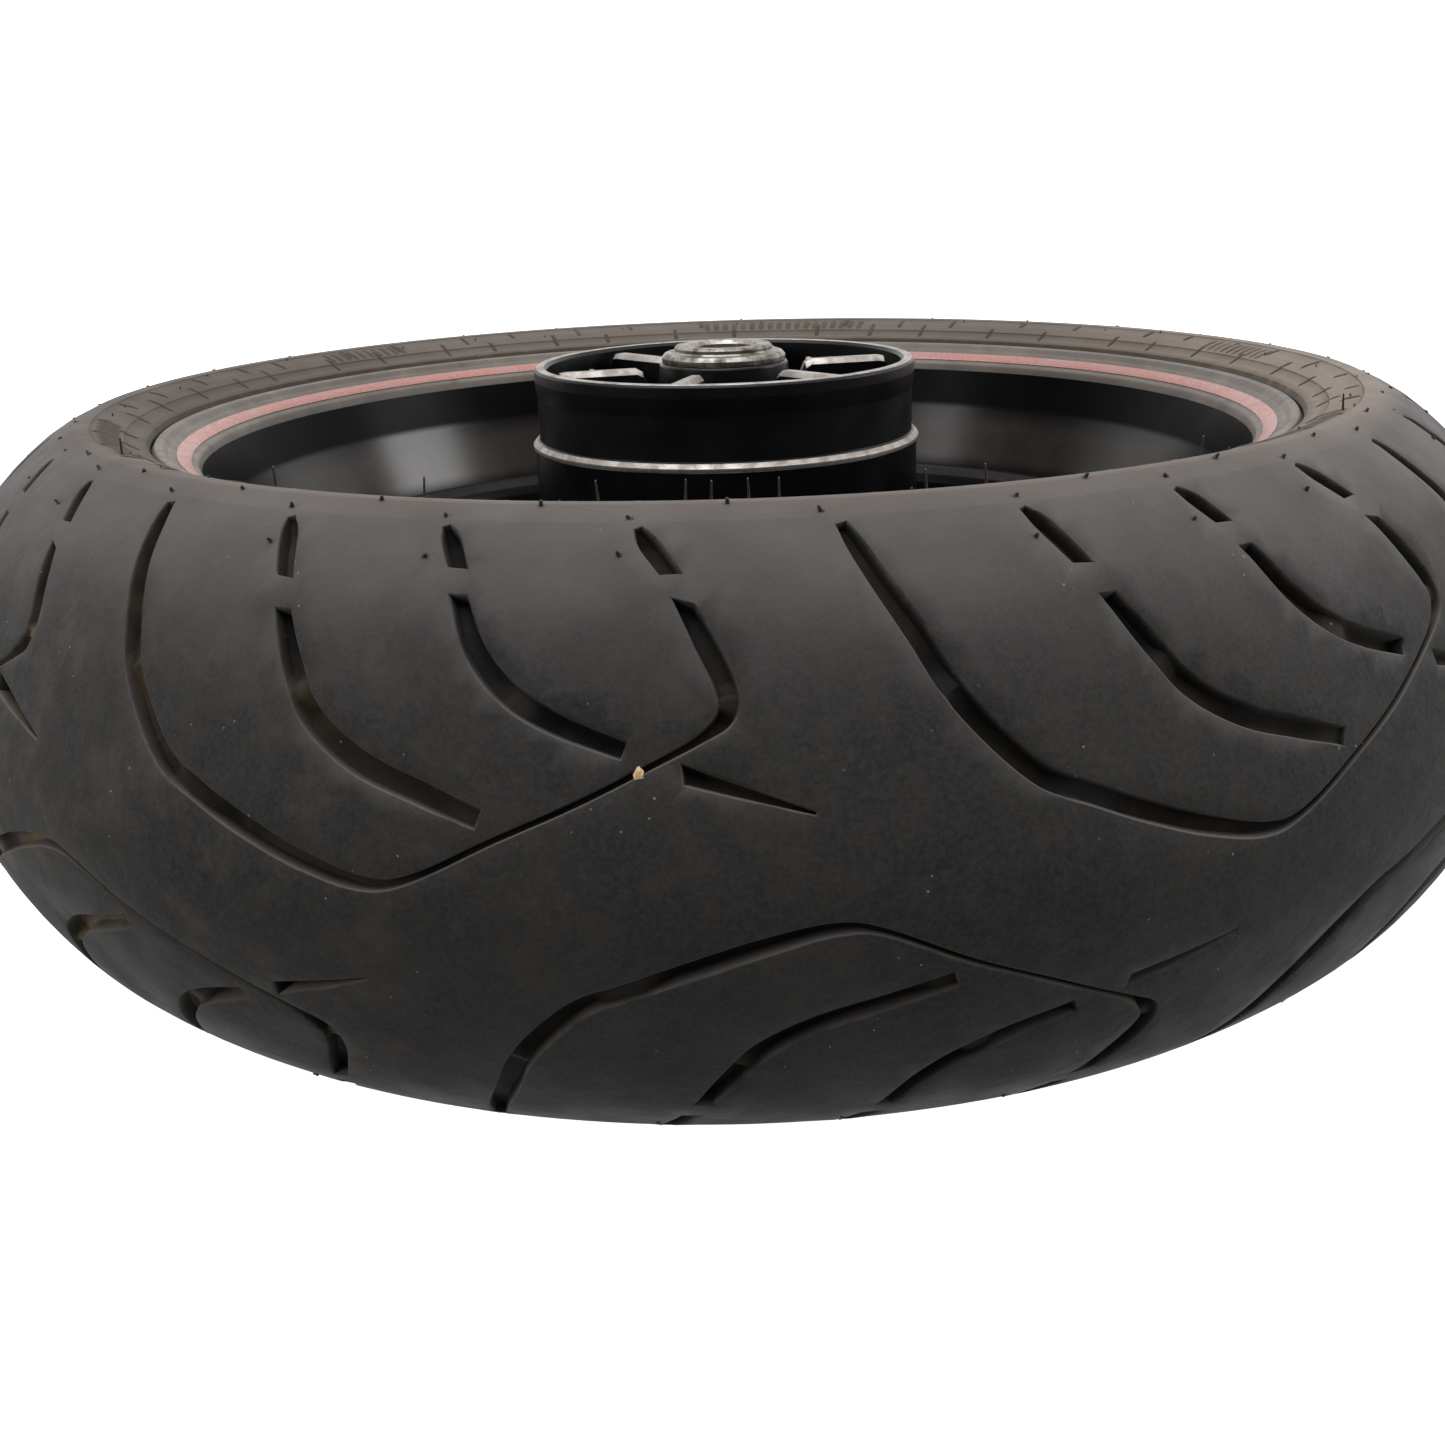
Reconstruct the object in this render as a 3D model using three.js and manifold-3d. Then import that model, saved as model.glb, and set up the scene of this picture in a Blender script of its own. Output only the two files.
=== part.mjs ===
// Rear wheel of a sports motorcycle with its tyre fitted, lying on its side with the sprocket side up.
// Units are millimetres and the axle lies along +Z. Heights in this file are measured from the wheel's
// middle plane. The last group lifts everything so that the tyre's lower sidewall rests on z = 0.
import * as THREE from "three";
import { mergeVertices } from "three/addons/utils/BufferGeometryUtils.js";
import Module from "manifold-3d";

// ---- Driving dimensions ----

const ROUND = 36; // facets round the tyre, the rim and the hub
const FINE_ROUND = 20; // facets round the bearings, the seals and the collars
const SMALL_ROUND = 12; // facets round the valve, bolt holes and other small turned pieces
const FIT_GAP = 0.3; // clearance between neighbouring pieces
const WELD = 1e-3; // vertices closer than this are one vertex
const QUARTER_TURN = Math.PI / 2;
const FULL_TURN = 2 * Math.PI;
const radians = THREE.MathUtils.degToRad;

const TYRE_RADIUS = 320; // 190/55 ZR17
const TYRE_HALF_WIDTH = 98.5;
const REST_BAND = [251, 257]; // radii of the flat band of sidewall that the tyre lies on
const TREAD_HALF_ARC = 112; // from the centre line to the tread's edge, along the surface
const TREAD_THICKNESS = 6.5;
const BELT_STATIONS = [19, 57, 94]; // distances from the centre line where the layers' facets break
const BELT_THICKNESS = 1.3;
const CASING_THICKNESS = 3.2;
const BEAD_WIRE = { inner: 221.5, outer: 227, low: 64, high: 69.5 };

const RIM_LIP_HEIGHT = 89.2;
const WELL_INNER_RADIUS = 188;
const WELL_OUTER_RADIUS = 192.8;
const STRIPE_WIDTH = 6;
const STRIPE_THICKNESS = 0.3;
const STRIPE_LIFT = 0.1; // adhesive under the tape
const STRIPE_PLACE = 0.49; // share of the way up the lip's sloping face
const LIP_FACE = { outer: [224, 86.3], inner: [213.4, 80.6] }; // sloping face that carries the stripe

const DRUM_RADIUS = 78.3;
const DRUM_TOP = 107.6;
const DRUM_FLOOR = 70;
const DRUM_BORE = 73;
const HUB_RADIUS = 79.5; // below the drum
const SKIRT_BORE = 74; // the hub is open-backed under the drum's floor
const SKIRT_LOW = 29;
const FLOOR_THICKNESS = 8;
const CORE_RADIUS = 34;
const BOSS_RADIUS = 26.5;
const BOSS_TOP = 107;
const VANES = { count: 6, phase: 12, thickness: 6, top: 106, step: 4, inner: 33.5, outer: 69 };
const DISC_SEAT = { height: -70, inner: 33.5, outer: 63 };
const DISC_BOLTS = { count: 5, circle: 52, radius: 3.4, depth: 16 };
const HUB_END = -80; // brake side end face

const SPOKE_COUNT = 5;
const SPOKE_PHASE = radians(18);
// Each row is a section across the spoke: radius, half width, lowest and highest height.
const SPOKE_SECTIONS = [
  [31, 19, -46, 48],
  [112, 11, -42, 12],
  [190.5, 17, -37, 2],
];
const CHANNEL_SECTIONS = [
  [50, 11, -52, 30],
  [112, 6.5, -48, 6],
  [178, 10.5, -44, -5],
];

const BEARING = { bore: 12.6, outer: 23.2, width: 12, pitch: 18, ball: 2.9, balls: 8, land: 2 };
const BEARING_SEAT = 23.5;
const UPPER_BEARING = 94.5; // height of each bearing's lower face
const LOWER_BEARING = -71.7;
const TUNNEL_RADIUS = 20; // hub bore between the bearings
const SLEEVE_RADIUS = 15.6; // outside of the sleeves where they bear on the inner races
const COLLAR_TOP = 114;
const COLLAR_RADIUS = 20.2;
const FLANGE = { radius: 25.6, low: 107.4, high: 111 }; // of the upper collar, over the boss
const COLLAR_BOTTOM = -88;
const LOWER_COLLAR_RADIUS = 20.5;
const CIRCLIP = { inner: 22.2, outer: 24.8, low: -74.1, high: -72.6, halfOpening: 16 };
const CIRCLIP_EYE = { circle: 21, radius: 1.9, hole: 0.9, offset: 3.4 };

const VALVE = { hole: 5.8, seat: 9.5, length: 30, head: 8.5, stem: 4.1, thread: 3.8, bore: 2.6 };
const VALVE_NUT = { radius: 7.4, bore: 4.5, height: 5 };
const WEIGHTS = { count: 4, start: -44, step: 5.4, width: 4.8, low: 6, high: 20, thickness: 3.2 };

const COLOURS = {
  tread: 0x2c2b2b,
  sidewall: 0x4a4643,
  belt: 0x8c8f92,
  bead: 0xb0843a,
  paint: 0x111113,
  stripe: 0xc9463f,
  steel: 0xb9babc,
  rubber: 0x1d1d1e,
  brass: 0xb79a55,
  plastic: 0x161616,
  lead: 0x7f8285,
};

// ---- Shape helpers ----

const wasm = await Module();
wasm.setup();

// A closed profile of [radius, height] points turned about Z. A profile may start and end on the axis.
function turned(profile, facets = ROUND) {
  const outline = profile.map(([radius, height]) => new THREE.Vector2(radius, height));
  if (THREE.ShapeUtils.isClockWise(outline)) outline.reverse();
  const onAxis = outline.filter((point) => point.x === 0);
  if (!onAxis.length) outline.push(outline[0].clone());
  while (onAxis.length && !(outline[0].x === 0 && outline.at(-1).x === 0)) {
    outline.push(outline.shift());
  }
  return new THREE.LatheGeometry(outline, facets).rotateX(QUARTER_TURN);
}

// A flat outline of [x, z] points, centred across Y with the given thickness.
function plate(points, thickness) {
  const shape = new THREE.Shape(points.map(([x, z]) => new THREE.Vector2(x, z)));
  const geometry = new THREE.ExtrudeGeometry(shape, { depth: thickness, bevelEnabled: false });
  return geometry.rotateX(QUARTER_TURN).translate(0, thickness / 2, 0);
}

// A sector of a ring, between two radii and two angles, standing on its lower height.
function sector(inner, outer, from, to, low, high, steps) {
  const shape = new THREE.Shape();
  shape.absarc(0, 0, outer, from, to, false);
  shape.absarc(0, 0, inner, to, from, true);
  const options = { depth: high - low, bevelEnabled: false, curveSegments: steps };
  return new THREE.ExtrudeGeometry(shape, options).translate(0, 0, low);
}

// A closed skin over a row of sections that have the same number of corners.
function loft(sections) {
  const size = sections[0].length;
  const positions = sections.flat().flatMap((corner) => corner.toArray());
  const index = [];
  for (let ring = 0; ring + 1 < sections.length; ring++) {
    for (let i = 0; i < size; i++) {
      const [a, b] = [ring * size + i, ring * size + ((i + 1) % size)];
      index.push(a, b, a + size, b, b + size, a + size);
    }
  }
  const last = (sections.length - 1) * size;
  for (let i = 1; i + 1 < size; i++) {
    index.push(0, i + 1, i, last, last + i, last + i + 1);
  }
  const geometry = new THREE.BufferGeometry();
  geometry.setAttribute("position", new THREE.Float32BufferAttribute(positions, 3));
  return geometry.setIndex(index);
}

function toSolid(geometry) {
  const bare = geometry.clone();
  bare.deleteAttribute("normal");
  bare.deleteAttribute("uv");
  const merged = mergeVertices(bare, WELD);
  const index = merged.index.array;
  const triangles = [];
  for (let i = 0; i < index.length; i += 3) {
    const [a, b, c] = index.slice(i, i + 3);
    if (a !== b && b !== c && a !== c) triangles.push(a, b, c);
  }
  const vertProperties = new Float32Array(merged.attributes.position.array);
  const triVerts = new Uint32Array(triangles);
  return new wasm.Manifold(new wasm.Mesh({ numProp: 3, vertProperties, triVerts }));
}

function toGeometry(solid) {
  const { numProp, numVert, vertProperties, triVerts } = solid.getMesh();
  const positions = new Float32Array(numVert * 3);
  for (let i = 0; i < numVert; i++) {
    positions.set(vertProperties.subarray(i * numProp, i * numProp + 3), i * 3);
  }
  const geometry = new THREE.BufferGeometry();
  geometry.setAttribute("position", new THREE.BufferAttribute(positions, 3));
  geometry.setIndex(new THREE.BufferAttribute(new Uint32Array(triVerts), 1));
  geometry.computeVertexNormals();
  return geometry;
}

function joined(geometries) {
  const solids = geometries.map(toSolid);
  return toGeometry(solids.reduce((whole, next) => whole.add(next)));
}

function cut(geometry, cutters) {
  const solids = cutters.map(toSolid);
  return toGeometry(solids.reduce((whole, next) => whole.subtract(next), toSolid(geometry)));
}

function around(count, phase, make) {
  return Array.from({ length: count }, (_, i) => make(phase + (i * FULL_TURN) / count));
}

function part(name, geometry, color, roughness, metalness) {
  const material = new THREE.MeshStandardMaterial({ color, roughness, metalness });
  const mesh = new THREE.Mesh(geometry, material);
  mesh.name = name;
  return mesh;
}

const mirrored = (profile) => profile.map(([radius, height]) => [radius, -height]);

// The lower half of a profile that is the same on both sides of the middle plane, then the upper half.
const bothSides = (upperHalf) => [...mirrored(upperHalf).reverse(), ...upperHalf];

// ---- Tyre ----

// Outer surface of the tyre from one resting band, over the crown, to the other.
const crownHalf = [
  [316.9, 19.6],
  [310, 38.2],
  [301.1, 57],
  [288.1, 76],
  [270.5, 91.5],
  [REST_BAND[1], TYRE_HALF_WIDTH],
];
const crownCurve = new THREE.SplineCurve(
  [...mirrored(crownHalf).reverse(), [TYRE_RADIUS, 0], ...crownHalf].map(
    ([radius, height]) => new THREE.Vector2(radius, height),
  ),
);
const crownLength = crownCurve.getLength();

// The point that lies `along` mm from the centre line over the surface, and `depth` mm below it.
function crownPoint(along, depth) {
  const share = 0.5 + along / crownLength;
  const point = crownCurve.getPointAt(share);
  const tangent = crownCurve.getTangentAt(share);
  return [point.x - tangent.y * depth, point.y + tangent.x * depth];
}

// The same stations on every buried face keep the facets of neighbouring layers parallel.
function layerFace(stations, depth) {
  const lower = stations.map((along) => crownPoint(-along, depth)).reverse();
  return [...lower, ...stations.map((along) => crownPoint(along, depth))];
}

function treadBand() {
  const steps = 12;
  const outside = Array.from({ length: steps + 1 }, (_, i) =>
    crownPoint(((2 * i) / steps - 1) * TREAD_HALF_ARC, 0),
  );
  const inside = layerFace([...BELT_STATIONS, TREAD_HALF_ARC], TREAD_THICKNESS);
  return turned([...outside, ...inside.reverse()]);
}

function beltBand() {
  const top = TREAD_THICKNESS + FIT_GAP;
  const outside = layerFace(BELT_STATIONS, top);
  const inside = layerFace(BELT_STATIONS, top + BELT_THICKNESS);
  return turned([...outside, ...inside.reverse()]);
}

// Sidewalls, carcass and beads. Each bead has a channel for its wire, open towards the rim's seat.
function casing() {
  const underTread = TREAD_THICKNESS + FIT_GAP;
  const underBelt = underTread + BELT_THICKNESS + FIT_GAP;
  const treadEdge = TREAD_HALF_ARC + FIT_GAP;
  const beltEdge = BELT_STATIONS.at(-1) + 2 * FIT_GAP;
  const crownStations = [...BELT_STATIONS.slice(0, -1), beltEdge];
  const wireLow = BEAD_WIRE.low - FIT_GAP;
  const wireHigh = BEAD_WIRE.high + FIT_GAP;
  const wireRoof = BEAD_WIRE.outer + FIT_GAP;
  return turned(
    bothSides([
      ...crownStations.map((along) => crownPoint(along, underBelt)),
      crownPoint(beltEdge, underTread),
      crownPoint(treadEdge, underTread),
      crownPoint(treadEdge, 0),
      [REST_BAND[1], TYRE_HALF_WIDTH],
      [REST_BAND[0], TYRE_HALF_WIDTH],
      [239, 95],
      [233.6, 90.6],
      [232.1, 86],
      [231.8, 80.6],
      [222, 75.6],
      [219.2, 73.6],
      [218.9, wireHigh],
      [wireRoof, wireHigh],
      [wireRoof, wireLow],
      [218.4, wireLow],
      [218.2, 60],
      [225, 59.5],
      [234, 72],
      [243, 88],
      [255, 91.5],
      ...crownStations.map((along) => crownPoint(along, underBelt + CASING_THICKNESS)).reverse(),
    ]),
  );
}

function beadWire(side) {
  const { inner, outer, low, high } = BEAD_WIRE;
  return turned([
    [inner, side * low],
    [outer, side * low],
    [outer, side * high],
    [inner, side * high],
  ]);
}

// ---- Wheel casting ----

// Half section of the rim: inner face from the well to the lip, then back along the bead seat.
const rimHalf = [
  [WELL_INNER_RADIUS, 24],
  [190, 28],
  [195.5, 31],
  [206.4, 61],
  [212.4, 77.5],
  LIP_FACE.inner,
  LIP_FACE.outer,
  [226.2, 88.4],
  [228.8, RIM_LIP_HEIGHT],
  [231.6, 84.8],
  [221.4, 77],
  [218.5, 74.4],
  [217.4, 60],
  [218.8, 57.4],
  [216, 54.4],
  [206.4, 46],
  [200, 33],
  [WELL_OUTER_RADIUS, 22],
];

function rim() {
  return turned([...mirrored(rimHalf).reverse(), ...rimHalf]);
}

function hub() {
  return turned([
    // Drum outside, from the lip down, with the machined ring below it
    [74.6, DRUM_TOP],
    [77.6, DRUM_TOP],
    [DRUM_RADIUS, 106.9],
    [77.6, 99.8],
    [76.6, 99],
    [76.6, 80],
    [80, 79],
    [80, 76],
    [HUB_RADIUS, 75.4],
    [HUB_RADIUS, SKIRT_LOW],
    [SKIRT_BORE, SKIRT_LOW],
    [SKIRT_BORE, DRUM_FLOOR - FLOOR_THICKNESS],
    [CORE_RADIUS, DRUM_FLOOR - FLOOR_THICKNESS - 4],
    [CORE_RADIUS, -46],
    [48, -60],
    [DISC_SEAT.outer, -62],
    // Brake side: disc seat, end boss, then the bore with its seal, circlip groove and bearing seat
    [DISC_SEAT.outer, DISC_SEAT.height],
    [DISC_SEAT.inner, DISC_SEAT.height],
    [32, -78.5],
    [30.5, HUB_END],
    [BEARING_SEAT, HUB_END],
    [BEARING_SEAT, -74.4],
    [25.2, -74.4],
    [25.2, -72.2],
    [BEARING_SEAT, -72.2],
    [BEARING_SEAT, LOWER_BEARING + BEARING.width + FIT_GAP],
    [TUNNEL_RADIUS, LOWER_BEARING + BEARING.width + FIT_GAP],
    [TUNNEL_RADIUS, UPPER_BEARING - FIT_GAP],
    // Sprocket side: bearing seat, boss, and the drum's floor and inner wall
    [BEARING_SEAT, UPPER_BEARING - FIT_GAP],
    [BEARING_SEAT, BOSS_TOP],
    [25.7, BOSS_TOP],
    [BOSS_RADIUS, 106],
    [BOSS_RADIUS + 1, DRUM_FLOOR],
    [DRUM_BORE - 1, DRUM_FLOOR],
    [DRUM_BORE, DRUM_FLOOR + 2],
    [73.7, 106.6],
  ]);
}

// An eight-cornered section across a spoke at one radius.
function spokeSection(radius, halfWidth, low, high) {
  const chamfer = halfWidth * 0.35;
  const corners = [
    [halfWidth, low + chamfer],
    [halfWidth, high - chamfer],
    [halfWidth - chamfer, high],
    [chamfer - halfWidth, high],
    [-halfWidth, high - chamfer],
    [-halfWidth, low + chamfer],
    [chamfer - halfWidth, low],
    [halfWidth - chamfer, low],
  ];
  return corners.map(([across, height]) => new THREE.Vector3(radius, across, height));
}

// A spoke from the hub's core to the rim's well, narrowest at its waist.
function spoke(angle) {
  return loft(SPOKE_SECTIONS.map((row) => spokeSection(...row))).rotateZ(angle);
}

// The channel along a spoke's brake side, which leaves walls and a top web.
function spokeChannel(angle) {
  return loft(CHANNEL_SECTIONS.map((row) => spokeSection(...row))).rotateZ(angle);
}

// A radial wall of the cushion drive. Its top is machined flat and steps down beside the boss.
function vane(angle) {
  const { thickness, top, step, inner, outer } = VANES;
  const outline = [
    [BOSS_RADIUS - 1, DRUM_FLOOR - 1],
    [DRUM_BORE + 1, DRUM_FLOOR - 1],
    [DRUM_BORE + 1, top - step],
    [outer + 1, top - step / 2],
    [outer, top],
    [inner + 1, top],
    [inner - 1, top - step],
    [BOSS_RADIUS - 1, top - step],
  ];
  return plate(outline, thickness).rotateZ(angle);
}

function discBoltHole(angle) {
  const { circle, radius, depth } = DISC_BOLTS;
  const hole = new THREE.CylinderGeometry(radius, radius, 2 * depth, SMALL_ROUND);
  hole.rotateX(QUARTER_TURN).translate(circle, 0, DISC_SEAT.height);
  return hole.rotateZ(angle);
}

// The hole through the rim's well, with a flat seat for the nut. It is cut on the -Y side.
function valveHole() {
  const { hole, seat } = VALVE;
  const seatDepth = 6;
  const through = new THREE.CylinderGeometry(hole, hole, 40, SMALL_ROUND);
  const flat = new THREE.CylinderGeometry(seat, seat, seatDepth, 2 * SMALL_ROUND);
  return [
    through.translate(0, -WELL_INNER_RADIUS, 0),
    flat.translate(0, seatDepth / 2 - WELL_INNER_RADIUS, 0),
  ];
}

function casting() {
  const whole = joined([
    rim(),
    hub(),
    ...around(SPOKE_COUNT, SPOKE_PHASE, spoke),
    ...around(VANES.count, radians(VANES.phase), vane),
  ]);
  // The spokes' and vanes' roots are trimmed where they would reach into the hub's bore.
  const tunnel = turned([
    [0, HUB_END - 1],
    [TUNNEL_RADIUS, HUB_END - 1],
    [TUNNEL_RADIUS, COLLAR_TOP],
    [0, COLLAR_TOP],
  ]);
  return cut(whole, [
    tunnel,
    ...around(SPOKE_COUNT, SPOKE_PHASE, spokeChannel),
    ...around(DISC_BOLTS.count, SPOKE_PHASE + Math.PI / DISC_BOLTS.count, discBoltHole),
    ...valveHole(),
  ]);
}

// Tape on the sloping face of the lip, on one side of the wheel.
function stripe(side) {
  const run = LIP_FACE.outer[0] - LIP_FACE.inner[0];
  const rise = LIP_FACE.outer[1] - LIP_FACE.inner[1];
  const length = Math.hypot(run, rise);
  const [alongR, alongZ] = [run / length, rise / length];
  const centre = [LIP_FACE.inner[0] + STRIPE_PLACE * run, LIP_FACE.inner[1] + STRIPE_PLACE * rise];
  const onFace = (across, lift) => [
    centre[0] + alongR * across - alongZ * lift,
    side * (centre[1] + alongZ * across + alongR * lift),
  ];
  const half = STRIPE_WIDTH / 2;
  const top = STRIPE_LIFT + STRIPE_THICKNESS;
  return turned([
    onFace(-half, STRIPE_LIFT),
    onFace(half, STRIPE_LIFT),
    onFace(half, top),
    onFace(-half, top),
  ]);
}

// Four stick-on blocks on one backing strip, inside the rim above the spokes.
function balanceWeights() {
  const { count, start, step, width, low, high, thickness } = WEIGHTS;
  const face = WELL_INNER_RADIUS * Math.cos(Math.PI / ROUND) - FIT_GAP;
  const glue = 0.4;
  const edge = 0.5;
  const blocks = Array.from({ length: count }, (_, i) => {
    const from = start + i * step;
    const skin = face - glue;
    return sector(skin - thickness, skin, radians(from), radians(from + width), low, high, 3);
  });
  const end = radians(start + (count - 1) * step + width);
  const backing = sector(face - 2 * glue, face, radians(start), end, low - edge, high + edge, 12);
  return joined([backing, ...blocks]);
}

// ---- Bearings ----

// Grooved rings, ball cage and two shields of one sealed ball bearing, on its own middle plane.
function bearing(name, height) {
  const half = BEARING.width / 2;
  const track = BEARING.ball + 0.2;
  const innerLand = BEARING.pitch - BEARING.land;
  const outerLand = BEARING.pitch + BEARING.land;
  const shoulder = Math.sqrt(track ** 2 - BEARING.land ** 2);
  const shieldSeat = half - 2.2;
  const shieldGroove = outerLand + 0.8;
  const outerRing = turned(
    [
      [BEARING.outer, -half],
      [BEARING.outer, half],
      [shieldGroove, half],
      [shieldGroove, shieldSeat],
      [outerLand, shieldSeat],
      [outerLand, shoulder],
      [BEARING.pitch + track, 0.9],
      [BEARING.pitch + track, -0.9],
      [outerLand, -shoulder],
      [outerLand, -shieldSeat],
      [shieldGroove, -shieldSeat],
      [shieldGroove, -half],
    ],
    FINE_ROUND,
  );
  const innerRing = turned(
    [
      [BEARING.bore, -half],
      [innerLand, -half],
      [innerLand, -shoulder],
      [BEARING.pitch - track, -0.9],
      [BEARING.pitch - track, 0.9],
      [innerLand, shoulder],
      [innerLand, half],
      [BEARING.bore, half],
    ],
    FINE_ROUND,
  );
  const cage = turned(
    [
      [BEARING.pitch - 0.8, -2],
      [BEARING.pitch + 0.8, -2],
      [BEARING.pitch + 0.8, 2],
      [BEARING.pitch - 0.8, 2],
    ],
    FINE_ROUND,
  );
  const balls = around(BEARING.balls, 0, (angle) =>
    new THREE.SphereGeometry(BEARING.ball, 8, 4)
      .rotateX(QUARTER_TURN)
      .translate(BEARING.pitch, 0, 0)
      .rotateZ(angle),
  );
  const shield = (side) =>
    turned(
      [
        [innerLand + FIT_GAP, side * (shieldSeat + FIT_GAP)],
        [shieldGroove - FIT_GAP, side * (shieldSeat + FIT_GAP)],
        [shieldGroove - FIT_GAP, side * (half - 0.6)],
        [innerLand + FIT_GAP, side * (half - 0.6)],
      ],
      FINE_ROUND,
    );
  const group = new THREE.Group();
  group.add(
    part(`${name}_outer_race`, outerRing, COLOURS.steel, 0.25, 1),
    part(`${name}_inner_race`, innerRing, COLOURS.steel, 0.25, 1),
    part(`${name}_balls`, joined([cage, ...balls]), COLOURS.steel, 0.15, 1),
    part(`${name}_shield_top`, shield(1), COLOURS.rubber, 0.7, 0),
    part(`${name}_shield_bottom`, shield(-1), COLOURS.rubber, 0.7, 0),
  );
  group.position.z = height + half;
  return group;
}

// ---- Axle stack ----

function distanceTube() {
  const low = LOWER_BEARING + BEARING.width + FIT_GAP;
  const high = UPPER_BEARING - FIT_GAP;
  return turned(
    [
      [BEARING.bore, low],
      [SLEEVE_RADIUS, low],
      [SLEEVE_RADIUS, high],
      [BEARING.bore, high],
    ],
    FINE_ROUND,
  );
}

// The stepped sleeve that the sprocket carrier bears on. Its flange covers the boss and the bearing.
function upperCollar() {
  const low = UPPER_BEARING + BEARING.width + FIT_GAP;
  const chamfer = 0.8;
  return turned(
    [
      [BEARING.bore, low],
      [SLEEVE_RADIUS, low],
      [SLEEVE_RADIUS, FLANGE.low],
      [FLANGE.radius, FLANGE.low],
      [FLANGE.radius, FLANGE.high - chamfer],
      [FLANGE.radius - chamfer, FLANGE.high],
      [COLLAR_RADIUS, FLANGE.high],
      [COLLAR_RADIUS, COLLAR_TOP - chamfer],
      [COLLAR_RADIUS - chamfer, COLLAR_TOP],
      [BEARING.bore + chamfer, COLLAR_TOP],
      [BEARING.bore, COLLAR_TOP - chamfer],
    ],
    FINE_ROUND,
  );
}

// The flanged sleeve that runs in the dust seal.
function lowerCollar() {
  const high = LOWER_BEARING - FIT_GAP;
  return turned(
    [
      [BEARING.bore, high],
      [SLEEVE_RADIUS, high],
      [SLEEVE_RADIUS, HUB_END - 1.5],
      [LOWER_COLLAR_RADIUS, HUB_END - 1.5],
      [LOWER_COLLAR_RADIUS, COLLAR_BOTTOM + 1],
      [LOWER_COLLAR_RADIUS - 1, COLLAR_BOTTOM],
      [BEARING.bore, COLLAR_BOTTOM],
    ],
    FINE_ROUND,
  );
}

function dustSeal() {
  return turned(
    [
      [BEARING.outer, HUB_END + 0.4],
      [BEARING.outer, -75],
      [21.6, -75],
      [21.6, -78],
      [18, -78],
      [17, -76],
      [SLEEVE_RADIUS + FIT_GAP, -76.4],
      [SLEEVE_RADIUS + FIT_GAP, HUB_END + 0.4],
    ],
    FINE_ROUND,
  );
}

// A snap ring with two eyed ends, in the groove under the lower bearing.
function circlip() {
  const { inner, outer, low, high } = CIRCLIP;
  const { circle, radius, hole, offset } = CIRCLIP_EYE;
  const opening = radians(CIRCLIP.halfOpening);
  const eyeAngles = [opening + radians(offset), -opening - radians(offset)];
  const disc = (size, height) => (angle) =>
    new THREE.CylinderGeometry(size, size, height, SMALL_ROUND)
      .rotateX(QUARTER_TURN)
      .translate(circle, 0, (low + high) / 2)
      .rotateZ(angle);
  const ring = sector(inner, outer, opening, FULL_TURN - opening, low, high, FINE_ROUND);
  const eyes = eyeAngles.map(disc(radius, high - low));
  const holes = eyeAngles.map(disc(hole, 2 * (high - low)));
  return cut(joined([ring, ...eyes]), holes);
}

// ---- Valve ----

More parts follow.
